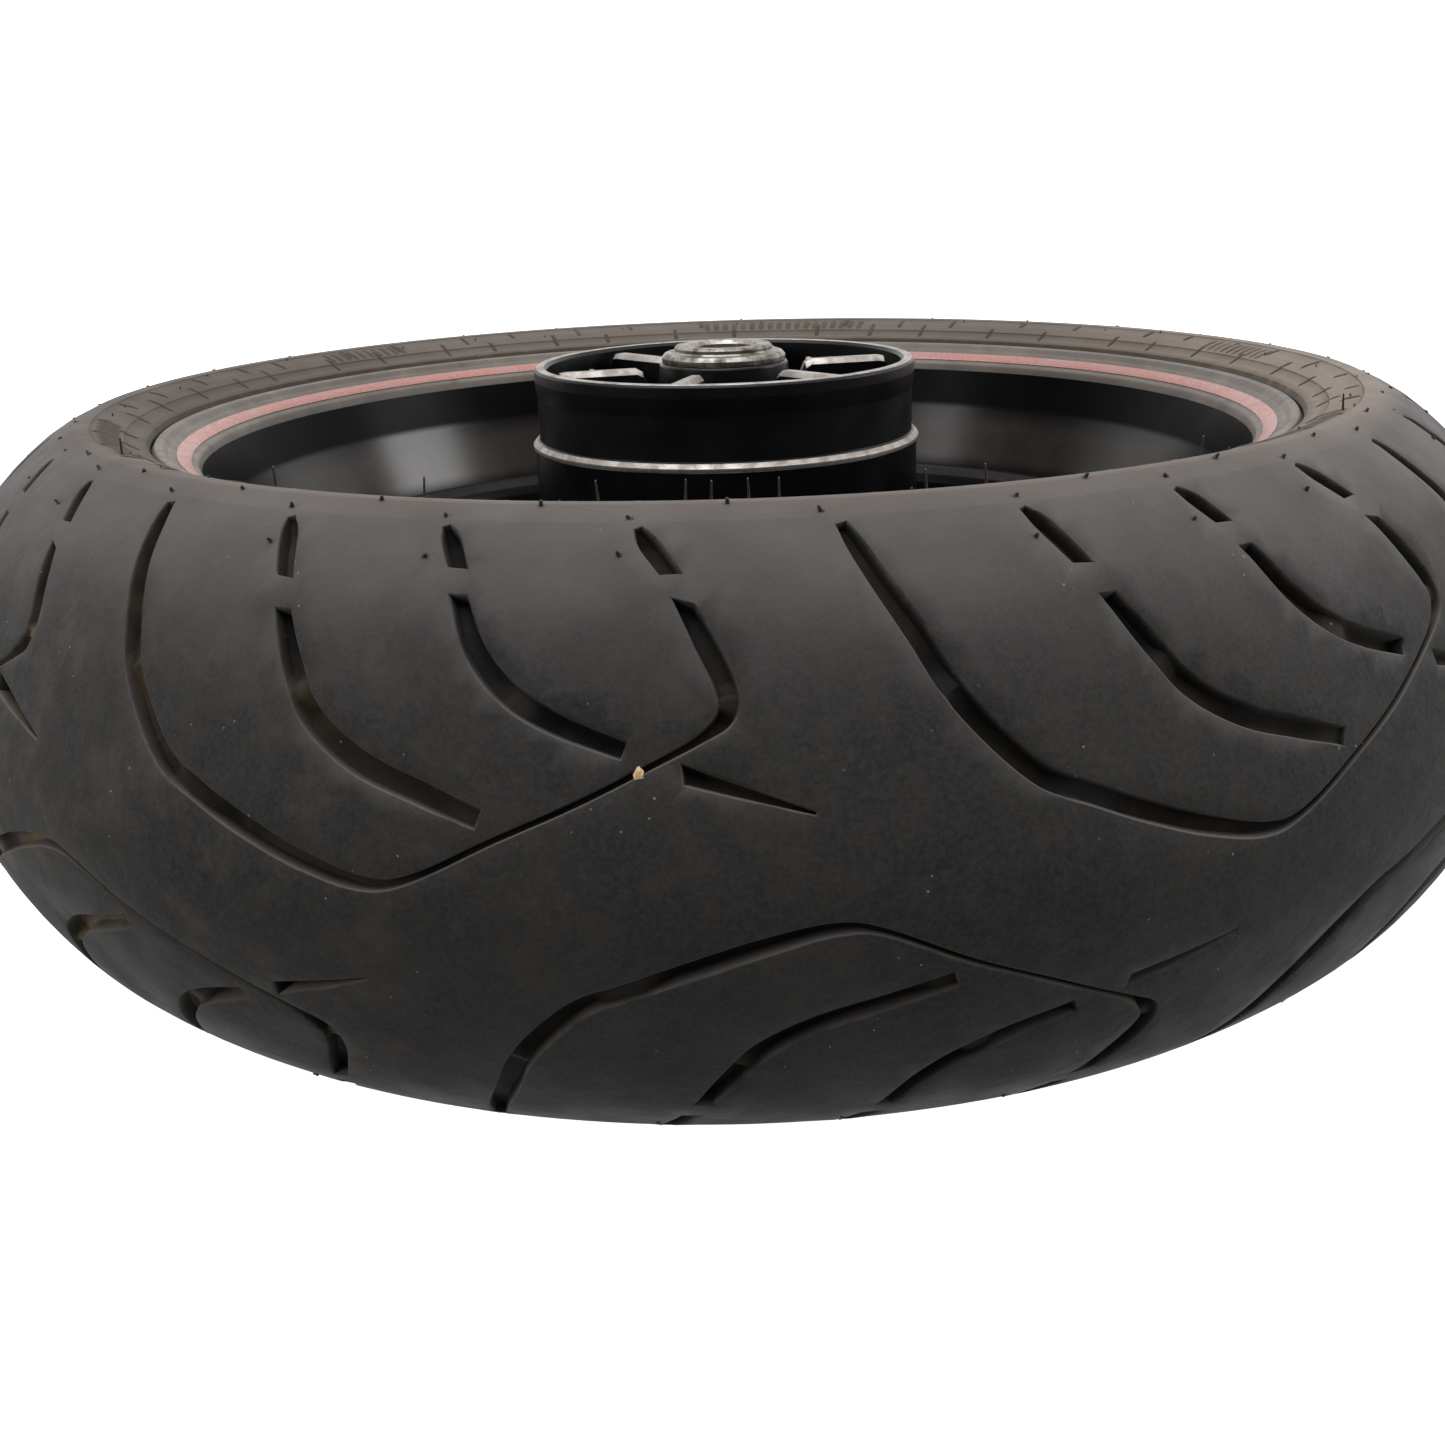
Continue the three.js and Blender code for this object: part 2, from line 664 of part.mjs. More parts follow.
// Valve pieces are turned about their own axis. Height 0 is the nut's seat in the well, and + is inward.
function valve() {
  const { length, head, stem: stemRadius, thread, bore } = VALVE;
  const wall = WELL_OUTER_RADIUS - WELL_INNER_RADIUS;
  const grommetLow = -wall - 2.8;
  const headLow = grommetLow - 2.4;
  const grommetBore = stemRadius + 0.4;
  const coreTop = length - 3;
  const capWall = 0.8;
  const stem = turned(
    [
      [head, headLow],
      [head, grommetLow - FIT_GAP],
      [stemRadius, grommetLow - FIT_GAP],
      [stemRadius, 20],
      [thread, 21],
      [thread, length - 0.6],
      [thread - 0.5, length],
      [bore, length],
      [bore, headLow],
    ],
    SMALL_ROUND,
  );
  const grommet = turned(
    [
      [grommetBore, grommetLow],
      [head - 0.2, grommetLow],
      [head - 0.2, -wall - FIT_GAP],
      [VALVE.hole - 0.5, -wall - FIT_GAP],
      [VALVE.hole - 0.5, -FIT_GAP],
      [grommetBore, -FIT_GAP],
    ],
    SMALL_ROUND,
  );
  const nutCorner = (angle) =>
    new THREE.Vector2(VALVE_NUT.radius * Math.cos(angle), VALVE_NUT.radius * Math.sin(angle));
  const nutOutline = new THREE.Shape(around(6, 0, nutCorner));
  nutOutline.holes.push(new THREE.Path().absarc(0, 0, VALVE_NUT.bore, 0, FULL_TURN, true));
  const nut = new THREE.ExtrudeGeometry(nutOutline, {
    depth: VALVE_NUT.height,
    bevelEnabled: false,
    curveSegments: SMALL_ROUND / 2,
  }).translate(0, 0, FIT_GAP);
  const core = turned(
    [
      [1.1, 9],
      [2.2, 9],
      [2.2, coreTop],
      [1.1, coreTop],
    ],
    SMALL_ROUND,
  );
  const pin = turned(
    [
      [0, 6],
      [1.9, 6],
      [1.9, 8.2],
      [0.7, 8.7],
      [0.7, length - 0.5],
      [0, length - 0.5],
    ],
    SMALL_ROUND,
  );
  const cap = turned(
    [
      [thread + 0.4, length - 7],
      [thread + 0.4 + capWall, length - 7],
      [thread + 0.4 + capWall, length + 4],
      [thread + 0.2, length + 5],
      [0, length + 5],
      [0, length + 2],
      [thread + 0.4, length + 2],
    ],
    SMALL_ROUND,
  );
  const group = new THREE.Group();
  group.add(
    part("valve_stem", stem, COLOURS.steel, 0.3, 1),
    part("valve_grommet", grommet, COLOURS.rubber, 0.8, 0),
    part("valve_nut", nut, COLOURS.steel, 0.3, 1),
    part("valve_core", core, COLOURS.brass, 0.35, 1),
    part("valve_core_pin", pin, COLOURS.brass, 0.35, 1),
    part("valve_cap", cap, COLOURS.plastic, 0.5, 0),
  );
  group.rotation.x = -QUARTER_TURN;
  group.position.y = -WELL_INNER_RADIUS;
  return group;
}

// ---- Assembly ----

const wheel = new THREE.Group();
wheel.add(
  part("tyre_tread", treadBand(), COLOURS.tread, 0.85, 0),
  part("tyre_belt", beltBand(), COLOURS.belt, 0.4, 1),
  part("tyre_casing", casing(), COLOURS.sidewall, 0.8, 0),
  part("bead_wire_upper", beadWire(1), COLOURS.bead, 0.4, 1),
  part("bead_wire_lower", beadWire(-1), COLOURS.bead, 0.4, 1),
  part("wheel_casting", casting(), COLOURS.paint, 0.25, 0.4),
  part("rim_stripe_upper", stripe(1), COLOURS.stripe, 0.35, 0),
  part("rim_stripe_lower", stripe(-1), COLOURS.stripe, 0.35, 0),
  part("balance_weights", balanceWeights(), COLOURS.lead, 0.6, 0.7),
  bearing("bearing_upper", UPPER_BEARING),
  bearing("bearing_lower", LOWER_BEARING),
  part("distance_tube", distanceTube(), COLOURS.steel, 0.4, 1),
  part("collar_upper", upperCollar(), COLOURS.steel, 0.3, 1),
  part("collar_lower", lowerCollar(), COLOURS.steel, 0.3, 1),
  part("dust_seal", dustSeal(), COLOURS.rubber, 0.7, 0),
  part("circlip", circlip(), COLOURS.steel, 0.4, 1),
  valve(),
);
wheel.position.z = TYRE_HALF_WIDTH;

const assembly = new THREE.Group();
assembly.add(wheel);

export default assembly;
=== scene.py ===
"""A used sports tyre on its cast motorcycle wheel, lying flat with the sprocket side up.

Lengths are in millimetres and heights are measured from the wheel's middle plane. The tyre's radius, its
width and the heights of the hub and collars come from the frame's boxes. Each piece is placed in the
frame's metres as it is made.
"""

import math
import random

import bmesh
import bpy
import numpy as np
from mathutils import Matrix, Vector
from mathutils.geometry import delaunay_2d_cdt


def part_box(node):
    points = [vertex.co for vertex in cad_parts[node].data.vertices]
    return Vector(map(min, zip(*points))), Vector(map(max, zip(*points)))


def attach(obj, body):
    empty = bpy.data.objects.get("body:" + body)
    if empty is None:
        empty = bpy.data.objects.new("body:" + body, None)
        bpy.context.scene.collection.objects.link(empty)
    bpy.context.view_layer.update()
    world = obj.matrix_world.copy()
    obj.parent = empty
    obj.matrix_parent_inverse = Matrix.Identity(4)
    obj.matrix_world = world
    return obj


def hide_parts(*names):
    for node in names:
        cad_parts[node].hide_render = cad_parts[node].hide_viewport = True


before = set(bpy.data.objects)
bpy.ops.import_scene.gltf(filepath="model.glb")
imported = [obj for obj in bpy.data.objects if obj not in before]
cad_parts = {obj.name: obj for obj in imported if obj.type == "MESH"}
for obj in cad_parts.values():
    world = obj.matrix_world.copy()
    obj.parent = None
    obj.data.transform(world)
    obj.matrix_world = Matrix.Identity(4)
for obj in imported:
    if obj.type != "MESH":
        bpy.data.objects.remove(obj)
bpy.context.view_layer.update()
DRAW = random.Random(17)

MM = 0.001
FULL_TURN = 2 * math.pi
MERGE = 0.01  # corners this close are one corner

# ---- Driving sizes, read from the frame ----

TYRE_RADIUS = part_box("tyre_tread")[1].x / MM
HALF_WIDTH = (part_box("tyre_casing")[1].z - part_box("tyre_casing")[0].z) / MM / 2
MIDDLE = (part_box("tyre_casing")[1].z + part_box("tyre_casing")[0].z) / MM / 2
HUB_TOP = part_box("wheel_casting")[1].z / MM - MIDDLE
HUB_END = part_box("wheel_casting")[0].z / MM - MIDDLE
COLLAR_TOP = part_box("collar_upper")[1].z / MM - MIDDLE
COLLAR_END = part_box("collar_lower")[0].z / MM - MIDDLE

# ---- Outlines and meshes ----


def rounded(points, steps=5):
    """A closed outline from (radius, height, fillet) corners. A corner without a fillet stays sharp."""
    straight = math.radians(178)
    longest = 0.48  # the share of an edge that one fillet may take
    outline = []
    count = len(points)
    for index, corner in enumerate(points):
        here = Vector(corner[:2])
        fillet = corner[2] if len(corner) > 2 else 0
        back = Vector(points[index - 1][:2]) - here
        ahead = Vector(points[(index + 1) % count][:2]) - here
        opening = back.angle(ahead)
        if fillet == 0 or opening > straight:
            outline.append(here)
            continue
        reach = min(fillet / math.tan(opening / 2), longest * back.length, longest * ahead.length)
        radius = reach * math.tan(opening / 2)
        inward = (back.normalized() + ahead.normalized()).normalized()
        centre = here + inward * radius / math.sin(opening / 2)
        first = here + back.normalized() * reach - centre
        last = here + ahead.normalized() * reach - centre
        sweep = first.angle_signed(last)
        for step in range(steps + 1):
            turn = Matrix.Rotation(-sweep * step / steps, 2)
            outline.append(centre + turn @ first)
    return outline


def mirrored(half):
    """An outline's upper half, closed by the same corners below the middle plane."""
    return [*half, *[(corner[0], -corner[1], *corner[2:]) for corner in half[::-1]]]


def smooth_line(knots, steps=8):
    """A smooth line through the knots, which may have any number of values each."""
    rows = np.array(knots, float)
    padded = np.vstack([2 * rows[0] - rows[1], rows, 2 * rows[-1] - rows[-2]])
    line = []
    for p0, p1, p2, p3 in zip(padded, padded[1:], padded[2:], padded[3:]):
        for step in range(steps):
            t = step / steps
            square = (2 * p0 - 5 * p1 + 4 * p2 - p3) * t**2
            cube = (3 * p1 - p0 - 3 * p2 + p3) * t**3
            line.append(0.5 * (2 * p1 + (p2 - p0) * t + square + cube))
    return np.array([*line, rows[-1]])


def place(radius, angle, height):
    """A point in the frame, in metres, from millimetres and radians."""
    return Vector((radius * math.cos(angle), radius * math.sin(angle), height + MIDDLE)) * MM


def across_arm(angle, radius, corners):
    """A section through a radial arm, from corners of (sideways, height) at a radius."""
    out = Vector((math.cos(angle), math.sin(angle), 0))
    side = Vector((-math.sin(angle), math.cos(angle), 0))
    foot = place(0, 0, 0)
    return [foot + (out * radius + side * corner.x + Vector((0, 0, corner.y))) * MM for corner in corners]


def lathe(outline, facets, mesh=None, axis=None):
    """A closed outline of (radius, height) turned about the wheel's axis, or about another one."""
    mesh = mesh or bmesh.new()
    rings = []
    for facet in range(facets):
        angle = FULL_TURN * facet / facets
        ring = []
        for radius, height in outline:
            point = Vector((radius * math.cos(angle), radius * math.sin(angle), height)) * MM
            ring.append(mesh.verts.new(place(radius, angle, height) if axis is None else axis @ point))
        rings.append(ring)
    for ring, ahead in zip(rings, rings[1:] + rings[:1]):
        for index in range(len(outline)):
            mesh.faces.new((ring[index - 1], ahead[index - 1], ahead[index], ring[index]))
    return mesh


def loft(sections, mesh=None):
    """Closed sections of points in metres, joined in order and capped."""
    mesh = mesh or bmesh.new()
    loops = [[mesh.verts.new(point) for point in section] for section in sections]
    for loop, ahead in zip(loops, loops[1:]):
        for index in range(len(loop)):
            mesh.faces.new((loop[index - 1], loop[index], ahead[index], ahead[index - 1]))
    mesh.faces.new(loops[0])
    mesh.faces.new(loops[-1])
    return mesh


def piece(name, mesh, finishes, body, stands_for=(), sharp=35):
    """Finishes a mesh as a shaded object that rides on a body of the frame."""
    bmesh.ops.remove_doubles(mesh, verts=mesh.verts, dist=MERGE * MM)
    bmesh.ops.dissolve_degenerate(mesh, edges=mesh.edges, dist=MERGE * MM / 2)
    bmesh.ops.recalc_face_normals(mesh, faces=mesh.faces)
    data = bpy.data.meshes.new(name)
    mesh.to_mesh(data)
    mesh.free()
    data.shade_smooth()
    data.set_sharp_from_angle(angle=math.radians(sharp))
    for finish in finishes:
        data.materials.append(finish)
    made = bpy.data.objects.new(name, data)
    bpy.context.scene.collection.objects.link(made)
    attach(made, body)
    if stands_for:
        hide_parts(*stands_for)
    return made


def mark_faces(mesh, chosen):
    """Gives the second finish to the faces whose middle's (radius, height) is chosen."""
    for face in mesh.faces:
        middle = face.calc_center_median() / MM
        if chosen(math.hypot(middle.x, middle.y), middle.z - MIDDLE):
            face.material_index = 1


# ---- Materials ----


class Finish:
    """A procedural material, with short calls for the nodes that the finishes here share."""

    def __init__(self, name, **sockets):
        self.material = bpy.data.materials.new(name)
        self.material.use_nodes = True
        self.nodes = self.material.node_tree.nodes
        self.links = self.material.node_tree.links
        self.shader = self.nodes["Principled BSDF"]
        for socket, value in sockets.items():
            self.shader.inputs[socket.replace("_", " ")].default_value = value
        self.place = self.add("ShaderNodeTexCoord").outputs["Object"]

    def add(self, kind, inputs=None, **settings):
        node = self.nodes.new(kind)
        for key, value in settings.items():
            setattr(node, key, value)
        for key, value in (inputs or {}).items():
            if isinstance(value, bpy.types.NodeSocket):
                self.links.new(value, node.inputs[key])
            else:
                node.inputs[key].default_value = value
        return node

    def noise(self, size, detail=3, grain=0.5, where=None):
        """Cloudy variation from 0 to 1, with features of about size millimetres."""
        inputs = {"Vector": where or self.place, "Scale": 1 / (size * MM)}
        inputs.update({"Detail": detail, "Roughness": grain})
        return self.add("ShaderNodeTexNoise", inputs).outputs["Fac"]

    def cloud(self, size, detail, grain=0.5, low=0.3, high=0.7, start=0.0, end=1.0):
        """Cloudy variation again, stretched so that it goes from start to end."""
        return self.ramp(self.noise(size, detail, grain), low, high, start, end)

    def cells(self, size, where=None):
        """Distance from scattered points, in cells of about size millimetres."""
        inputs = {"Vector": where or self.place, "Scale": 1 / (size * MM)}
        return self.add("ShaderNodeTexVoronoi", inputs).outputs["Distance"]

    def ramp(self, value, low, high, start=0.0, end=1.0):
        """Goes smoothly from start to end as value goes from low to high."""
        inputs = {"Value": value, "From Min": low, "From Max": high, "To Min": start, "To Max": end}
        return self.add("ShaderNodeMapRange", inputs, interpolation_type="SMOOTHSTEP").outputs["Result"]

    def math(self, operation, first, second=0.0):
        node = self.add("ShaderNodeMath", operation=operation)
        for socket, value in zip(node.inputs, (first, second)):
            if isinstance(value, bpy.types.NodeSocket):
                self.links.new(value, socket)
            else:
                socket.default_value = value
        return node.outputs[0]

    def both(self, first, second):
        """The share that is left of two shares together."""
        return self.math("MULTIPLY", first, second)

    def mix(self, factor, first, second):
        """A colour between first and second."""
        node = self.add("ShaderNodeMix", {"Factor": factor}, data_type="RGBA")
        for socket, value in ((node.inputs[6], first), (node.inputs[7], second)):
            if isinstance(value, bpy.types.NodeSocket):
                self.links.new(value, socket)
            else:
                socket.default_value = (*value, 1)
        return node.outputs[2]

    def attribute(self, name):
        return self.add("ShaderNodeAttribute", attribute_name=name).outputs["Fac"]

    def facing_up(self):
        """1 where the surface faces straight up, 0 where it is upright."""
        normal = self.add("ShaderNodeNewGeometry").outputs["Normal"]
        return self.add("ShaderNodeSeparateXYZ", {"Vector": normal}).outputs["Z"]

    def axes(self):
        """The x, y, radius and height of the surface point, in metres."""
        split = self.add("ShaderNodeSeparateXYZ", {"Vector": self.place})
        flat = self.add("ShaderNodeVectorMath", {0: self.place, 1: (1, 1, 0)}, operation="MULTIPLY")
        radius = self.add("ShaderNodeVectorMath", {0: flat.outputs[0]}, operation="LENGTH").outputs["Value"]
        return split.outputs["X"], split.outputs["Y"], radius, split.outputs["Z"]

    def turned_place(self):
        """Coordinates that change only with radius and height, for marks left by a lathe."""
        _, _, radius, height = self.axes()
        return self.add("ShaderNodeCombineXYZ", {"X": radius, "Y": height}).outputs[0]

    def colour(self, value):
        self.links.new(value, self.shader.inputs["Base Color"])

    def rough(self, value):
        self.links.new(value, self.shader.inputs["Roughness"])

    def bump(self, height, depth, strength=1.0):
        """Relief of about depth millimetres; later calls add to earlier ones."""
        inputs = {"Height": height, "Distance": depth * MM, "Strength": strength}
        earlier = self.shader.inputs["Normal"].links
        if earlier:
            inputs["Normal"] = earlier[0].from_socket
        relief = self.add("ShaderNodeBump", inputs)
        self.links.new(relief.outputs["Normal"], self.shader.inputs["Normal"])


def tyre_rubber(name):
    """Worn rubber: charcoal where the road scrubs it, dusty where it faces up and painted paler there as top
    light, with dirt and painted shade in its corners, painted shade down its grooves, paler worn groove edges
    with a painted highlight, and a dusty sidewall painted darker on the left and paler on the right as side
    light.
    """
    finish = Finish(name, Specular_IOR_Level=0.16, Sheen_Weight=0.05, Sheen_Roughness=0.5)
    across, _, radius, _ = finish.axes()
    groove = finish.attribute("groove")
    worn = finish.mix(finish.cloud(70, 4), (0.0095, 0.0095, 0.010), (0.0165, 0.0158, 0.0153))
    mottled = finish.mix(finish.cloud(9, 7, 0.66, 0.42, 0.75, 0, 0.6), worn, (0.028, 0.0255, 0.0235))
    scrubbed = finish.mix(finish.cloud(1.6, 4, 0.75, 0.3, 0.72, 0, 0.6), mottled, (0.034, 0.032, 0.030))
    left_side = finish.ramp(across, 0.10, -0.24, 0.04, 1.0)
    stain = finish.both(left_side, finish.cloud(26, 6, 0.68, 0.46, 0.70, 0, 0.6))
    stained = finish.mix(stain, scrubbed, (0.050, 0.042, 0.034))
    # up-facing rubber is painted paler: settled dust, and painted top light as well
    upward = finish.ramp(finish.facing_up(), 0.36, 1.0)
    dust_and_top_light = finish.both(upward, finish.cloud(30, 5, 0.5, 0.2, 0.75, 0.7, 1))
    dusty = finish.mix(dust_and_top_light, stained, (0.094, 0.086, 0.083))
    # the dusty sidewall's colour is painted darker on the left and paler on the right as painted side light
    wall = finish.both(finish.ramp(radius, 0.268, 0.250), finish.cloud(18, 5, 0.6, 0.25, 0.7, 0.75, 1))
    left = finish.mix(finish.ramp(across, -0.27, -0.12), (0.072, 0.057, 0.046), (0.110, 0.089, 0.076))
    side_lit_wall = finish.mix(finish.ramp(across, 0.14, 0.27), left, (0.205, 0.162, 0.130))
    sided = finish.mix(wall, dusty, side_lit_wall)
    # worn groove edges, painted paler both as rubbed rubber and as a painted highlight
    edge_wear_and_highlight = finish.both(finish.attribute("edge"), finish.cloud(9, 4, 0.5, 0.35, 0.65, 0.05, 0.4))
    rubbed = finish.mix(edge_wear_and_highlight, sided, (0.075, 0.068, 0.060))
    # painted shade: the rubber is darkened almost to black down the grooves
    dark = finish.mix(groove, rubbed, (0.0032, 0.003, 0.0029))
    left_end = finish.ramp(across, -0.08, -0.26, 0.12, 1.0)
    patch = finish.both(left_end, finish.cloud(38, 5, 0.6, 0.38, 0.62, 0.05, 0.75))
    grooved = finish.mix(finish.both(groove, patch), dark, (0.125, 0.090, 0.051))
    # dirt and painted shade along the rim's edge, the mould steps and the sidewall's raised lines
    lines = finish.both(finish.attribute("corner"), finish.cloud(10, 4, 0.5, 0.25, 0.6, 0.6, 1.0))
    lined = finish.mix(lines, grooved, (0.040, 0.031, 0.020))
    specks = finish.both(finish.ramp(finish.cells(6), 0.07, 0.045), finish.cloud(22, 3, 0.5, 0.52, 0.6))
    finish.colour(finish.mix(specks, lined, (0.15, 0.135, 0.115)))
    finish.rough(finish.cloud(25, 4, start=0.58, end=0.8))
    finish.bump(finish.noise(0.9, 3, 0.6), 0.08)
    finish.bump(finish.noise(5, 4, 0.6), 0.25)
    return finish.material


def hair_rubber():
    """Thin moulding sprues, with the same rubber as the sidewall and a paler rubbed tip."""
    finish = Finish("hair_rubber", Specular_IOR_Level=0.5)
    tip = finish.ramp(finish.attribute("edge"), 0.6, 1.0)
    finish.colour(finish.mix(tip, (0.012, 0.011, 0.011), (0.16, 0.14, 0.12)))
    finish.rough(finish.cloud(2, 3, start=0.45, end=0.6))
    finish.bump(finish.noise(0.4), 0.03)
    return finish.material


def stone_grain():
    """Sandy stone in fine grains of two colours."""
    finish = Finish("stone", Specular_IOR_Level=0.4)
    finish.colour(finish.mix(finish.cloud(0.8, 5, 0.7, 0.35, 0.65), (0.34, 0.22, 0.10), (0.62, 0.47, 0.27)))
    finish.rough(finish.cloud(1, 3, start=0.6, end=0.85))
    finish.bump(finish.noise(0.5, 4), 0.15)
    return finish.material


def wheel_paint():
    """Black enamel, dull on the band below the lip, with a dust film on the rest of the barrel."""
    finish = Finish("wheel_paint", Coat_Roughness=0.2, Specular_IOR_Level=0.05)
    _, _, radius, height = finish.axes()
    ridge, film_top, film_full, well, slope = ((level + MIDDLE) * MM for level in (59, 62, 50, 30, 38))
    below_lip = finish.ramp(height, ridge + 3.5 * MM, ridge, 0.03, 0.72)
    above_well = finish.ramp(height, well, slope, 0.1, 1.0)
    finish.links.new(finish.both(below_lip, above_well), finish.shader.inputs["Coat Weight"])
    flakes = finish.mix(finish.cloud(0.5, 2, 0.5, 0.4, 0.7), (0.0015, 0.0015, 0.0018), (0.004, 0.004, 0.0045))
    low = finish.both(finish.ramp(height, film_top, film_full), above_well)
    barrel = finish.ramp(radius, 0.150, 0.190)
    film = finish.both(finish.both(low, barrel), finish.cloud(40, 5, 0.6, 0.25, 0.75, 0.35, 0.9))
    dusted = finish.mix(film, flakes, (0.050, 0.041, 0.035))
    upward = finish.ramp(finish.facing_up(), 0.5, 1.0)
    fallen = finish.both(upward, finish.cloud(16, 5, 0.6, 0.3, 0.7, 0.25, 0.8))
    finish.colour(finish.mix(fallen, dusted, (0.026, 0.023, 0.021)))
    finish.rough(finish.cloud(30, 5, start=0.28, end=0.4))
    finish.bump(finish.noise(3.5, 2), 0.03)
    return finish.material


def lip_dust_and_reflection():
    """The rim's lip: black enamel under a dry grey-beige film of dust, rubbed through in places; its pale
    grey is also a painted reflection of the bright room at a grazing angle.
    """
    finish = Finish("lip_dust_and_reflection", Coat_Weight=0.15, Coat_Roughness=0.35, Specular_IOR_Level=0.35)
    dusted = finish.mix(finish.cloud(26, 6, 0.62), (0.096, 0.080, 0.069), (0.146, 0.121, 0.104))
    streaks = finish.ramp(finish.noise(3, 4, 0.6, finish.turned_place()), 0.35, 0.7, 0, 0.5)
    streaked = finish.mix(streaks, dusted, (0.070, 0.060, 0.053))
    rubbed = finish.cloud(11, 5, 0.68, 0.60, 0.75, 0, 0.6)
    finish.colour(finish.mix(rubbed, streaked, (0.03, 0.028, 0.027)))
    finish.rough(finish.cloud(9, 4, start=0.42, end=0.6))
    finish.bump(finish.noise(1.5, 3), 0.03)
    return finish.material


def hub_paint():
    """Satin black on the drum and spokes, a little uneven as cast."""
    finish = Finish("hub_paint", Specular_IOR_Level=0.22, Coat_Weight=0.1, Coat_Roughness=0.2)
    paint = finish.mix(finish.cloud(20, 4), (0.0012, 0.0012, 0.0014), (0.0032, 0.0032, 0.0036))
    upward = finish.ramp(finish.facing_up(), 0.4, 1.0)
    fallen = finish.both(upward, finish.cloud(12, 5, 0.6, 0.35, 0.7, 0.02, 0.3))
    finish.colour(finish.mix(fallen, paint, (0.045, 0.039, 0.034)))
    finish.rough(finish.cloud(15, 4, start=0.30, end=0.42))
    finish.bump(finish.noise(1.6, 3), 0.05)
    return finish.material


def turned_metal(name, base, worn, roughness=0.3, pitch=0.5):
    """Bare metal with fine lathe marks round the wheel's axis and a little staining."""
    finish = Finish(name, Metallic=1.0)
    marks = finish.noise(pitch, 2, 0.5, finish.turned_place())
    stain = finish.cloud(7, 4, 0.6, 0.35, 0.7)
    spread = 0.14
    finish.colour(finish.mix(stain, base, worn))
    dulled = finish.ramp(stain, 0, 1, roughness, roughness + spread)
    finish.rough(finish.math("ADD", finish.ramp(marks, 0.3, 0.7, 0, spread), dulled))
    finish.bump(marks, 0.03)
    finish.bump(finish.noise(1.4, 3), 0.02)
    return finish.material


def stripe_tape():
    """Reflective tape: pale red, with the fine cells of its foil and scuffed edges."""
    finish = Finish("stripe_tape", Coat_Weight=0.3, Coat_Roughness=0.25, Specular_IOR_Level=0.6)
    foil = finish.mix(finish.ramp(finish.cells(1.6), 0.15, 0.6), (0.27, 0.080, 0.063), (0.34, 0.125, 0.102))
    scuff = finish.cloud(9, 5, 0.65, 0.48, 0.75, 0, 0.7)
    finish.colour(finish.mix(scuff, foil, (0.26, 0.18, 0.157)))
    finish.rough(finish.cloud(6, 3, start=0.25, end=0.42))
    finish.bump(finish.cells(1.6), 0.02)
    return finish.material


def moulded(name, base, worn, roughness=0.5):
    """A plain moulded or cast surface in one material, uneven in colour and faintly pitted."""
    finish = Finish(name)
    finish.colour(finish.mix(finish.cloud(6, 4, 0.6, 0.35, 0.7), base, worn))
    finish.rough(finish.cloud(4.8, 3, start=roughness - 0.08, end=roughness + 0.08))
    finish.bump(finish.noise(1.2, 3), 0.05)
    return finish.material


def cord_rubber():
    """Wound steel cord in its rubber skim: fine ridges round the tyre."""
    finish = Finish("belt_cord", Metallic=0.3)
    ridges = finish.noise(1.1, 1, 0.4, finish.turned_place())
    finish.colour(finish.mix(finish.ramp(ridges, 0.4, 0.6), (0.025, 0.024, 0.023), (0.22, 0.19, 0.15)))
    finish.rough(finish.cloud(4, 3, start=0.45, end=0.65))
    finish.bump(ridges, 0.3)
    return finish.material


TREAD = tyre_rubber("tread_rubber")
SIDEWALL = tyre_rubber("sidewall_rubber")
HAIR = hair_rubber()
STONE = stone_grain()
PAINT = wheel_paint()
LIP_DUST_AND_REFLECTION = lip_dust_and_reflection()
HUB_PAINT = hub_paint()
MACHINED = turned_metal("machined_aluminium", (0.46, 0.43, 0.41), (0.28, 0.245, 0.215), 0.38)
COLLAR_METAL = turned_metal("collar_alloy", (0.42, 0.40, 0.365), (0.10, 0.082, 0.060), 0.34)
STEEL = turned_metal("bearing_steel", (0.50, 0.50, 0.50), (0.30, 0.28, 0.26), 0.22, 0.3)
SPRING_STEEL = turned_metal("spring_steel", (0.10, 0.10, 0.11), (0.20, 0.14, 0.10), 0.4, 0.3)
VALVE_ALLOY = turned_metal("valve_alloy", (0.55, 0.55, 0.56), (0.35, 0.34, 0.33), 0.3, 0.3)
BRASS = turned_metal("valve_brass", (0.66, 0.45, 0.16), (0.40, 0.26, 0.10), 0.3, 0.3)
SEAL_RUBBER = moulded("seal_rubber", (0.014, 0.014, 0.014), (0.032, 0.030, 0.028), 0.6)
CAP_PLASTIC = moulded("cap_plastic", (0.012, 0.012, 0.012), (0.024, 0.023, 0.022), 0.45)
WEIGHT_METAL = moulded("weight_metal", (0.20, 0.20, 0.20), (0.32, 0.30, 0.28), 0.45)
STRIPE = stripe_tape()
CORD = cord_rubber()

# ---- Tread ----

CROWN = smooth_line([
    (320, -18), (TYRE_RADIUS, 0), (316.9, 19.6), (310, 38.2), (301.1, 57), (288.1, 76), (270.5, 91.5),
    (257, HALF_WIDTH),
])
PITCHES = 8  # in each half of the tread
PITCH_START = math.radians(270.4)
PITCH_MIDDLE = 0.4
PITCH_SWAY = math.radians(2.546)
COLUMNS = 32  # of the grid in one pitch
ROWS = 15
TREAD_REACH = 114  # from the centre line to the tread's edge, round the section
TREAD_THICKNESS = 6.4
DEGREE = TYRE_RADIUS * math.radians(1)
CELL = 47  # the length of the drawn pitch, in its own degrees
GRID_GAP = 3.2  # grid points closer than this to a groove's wall are left out


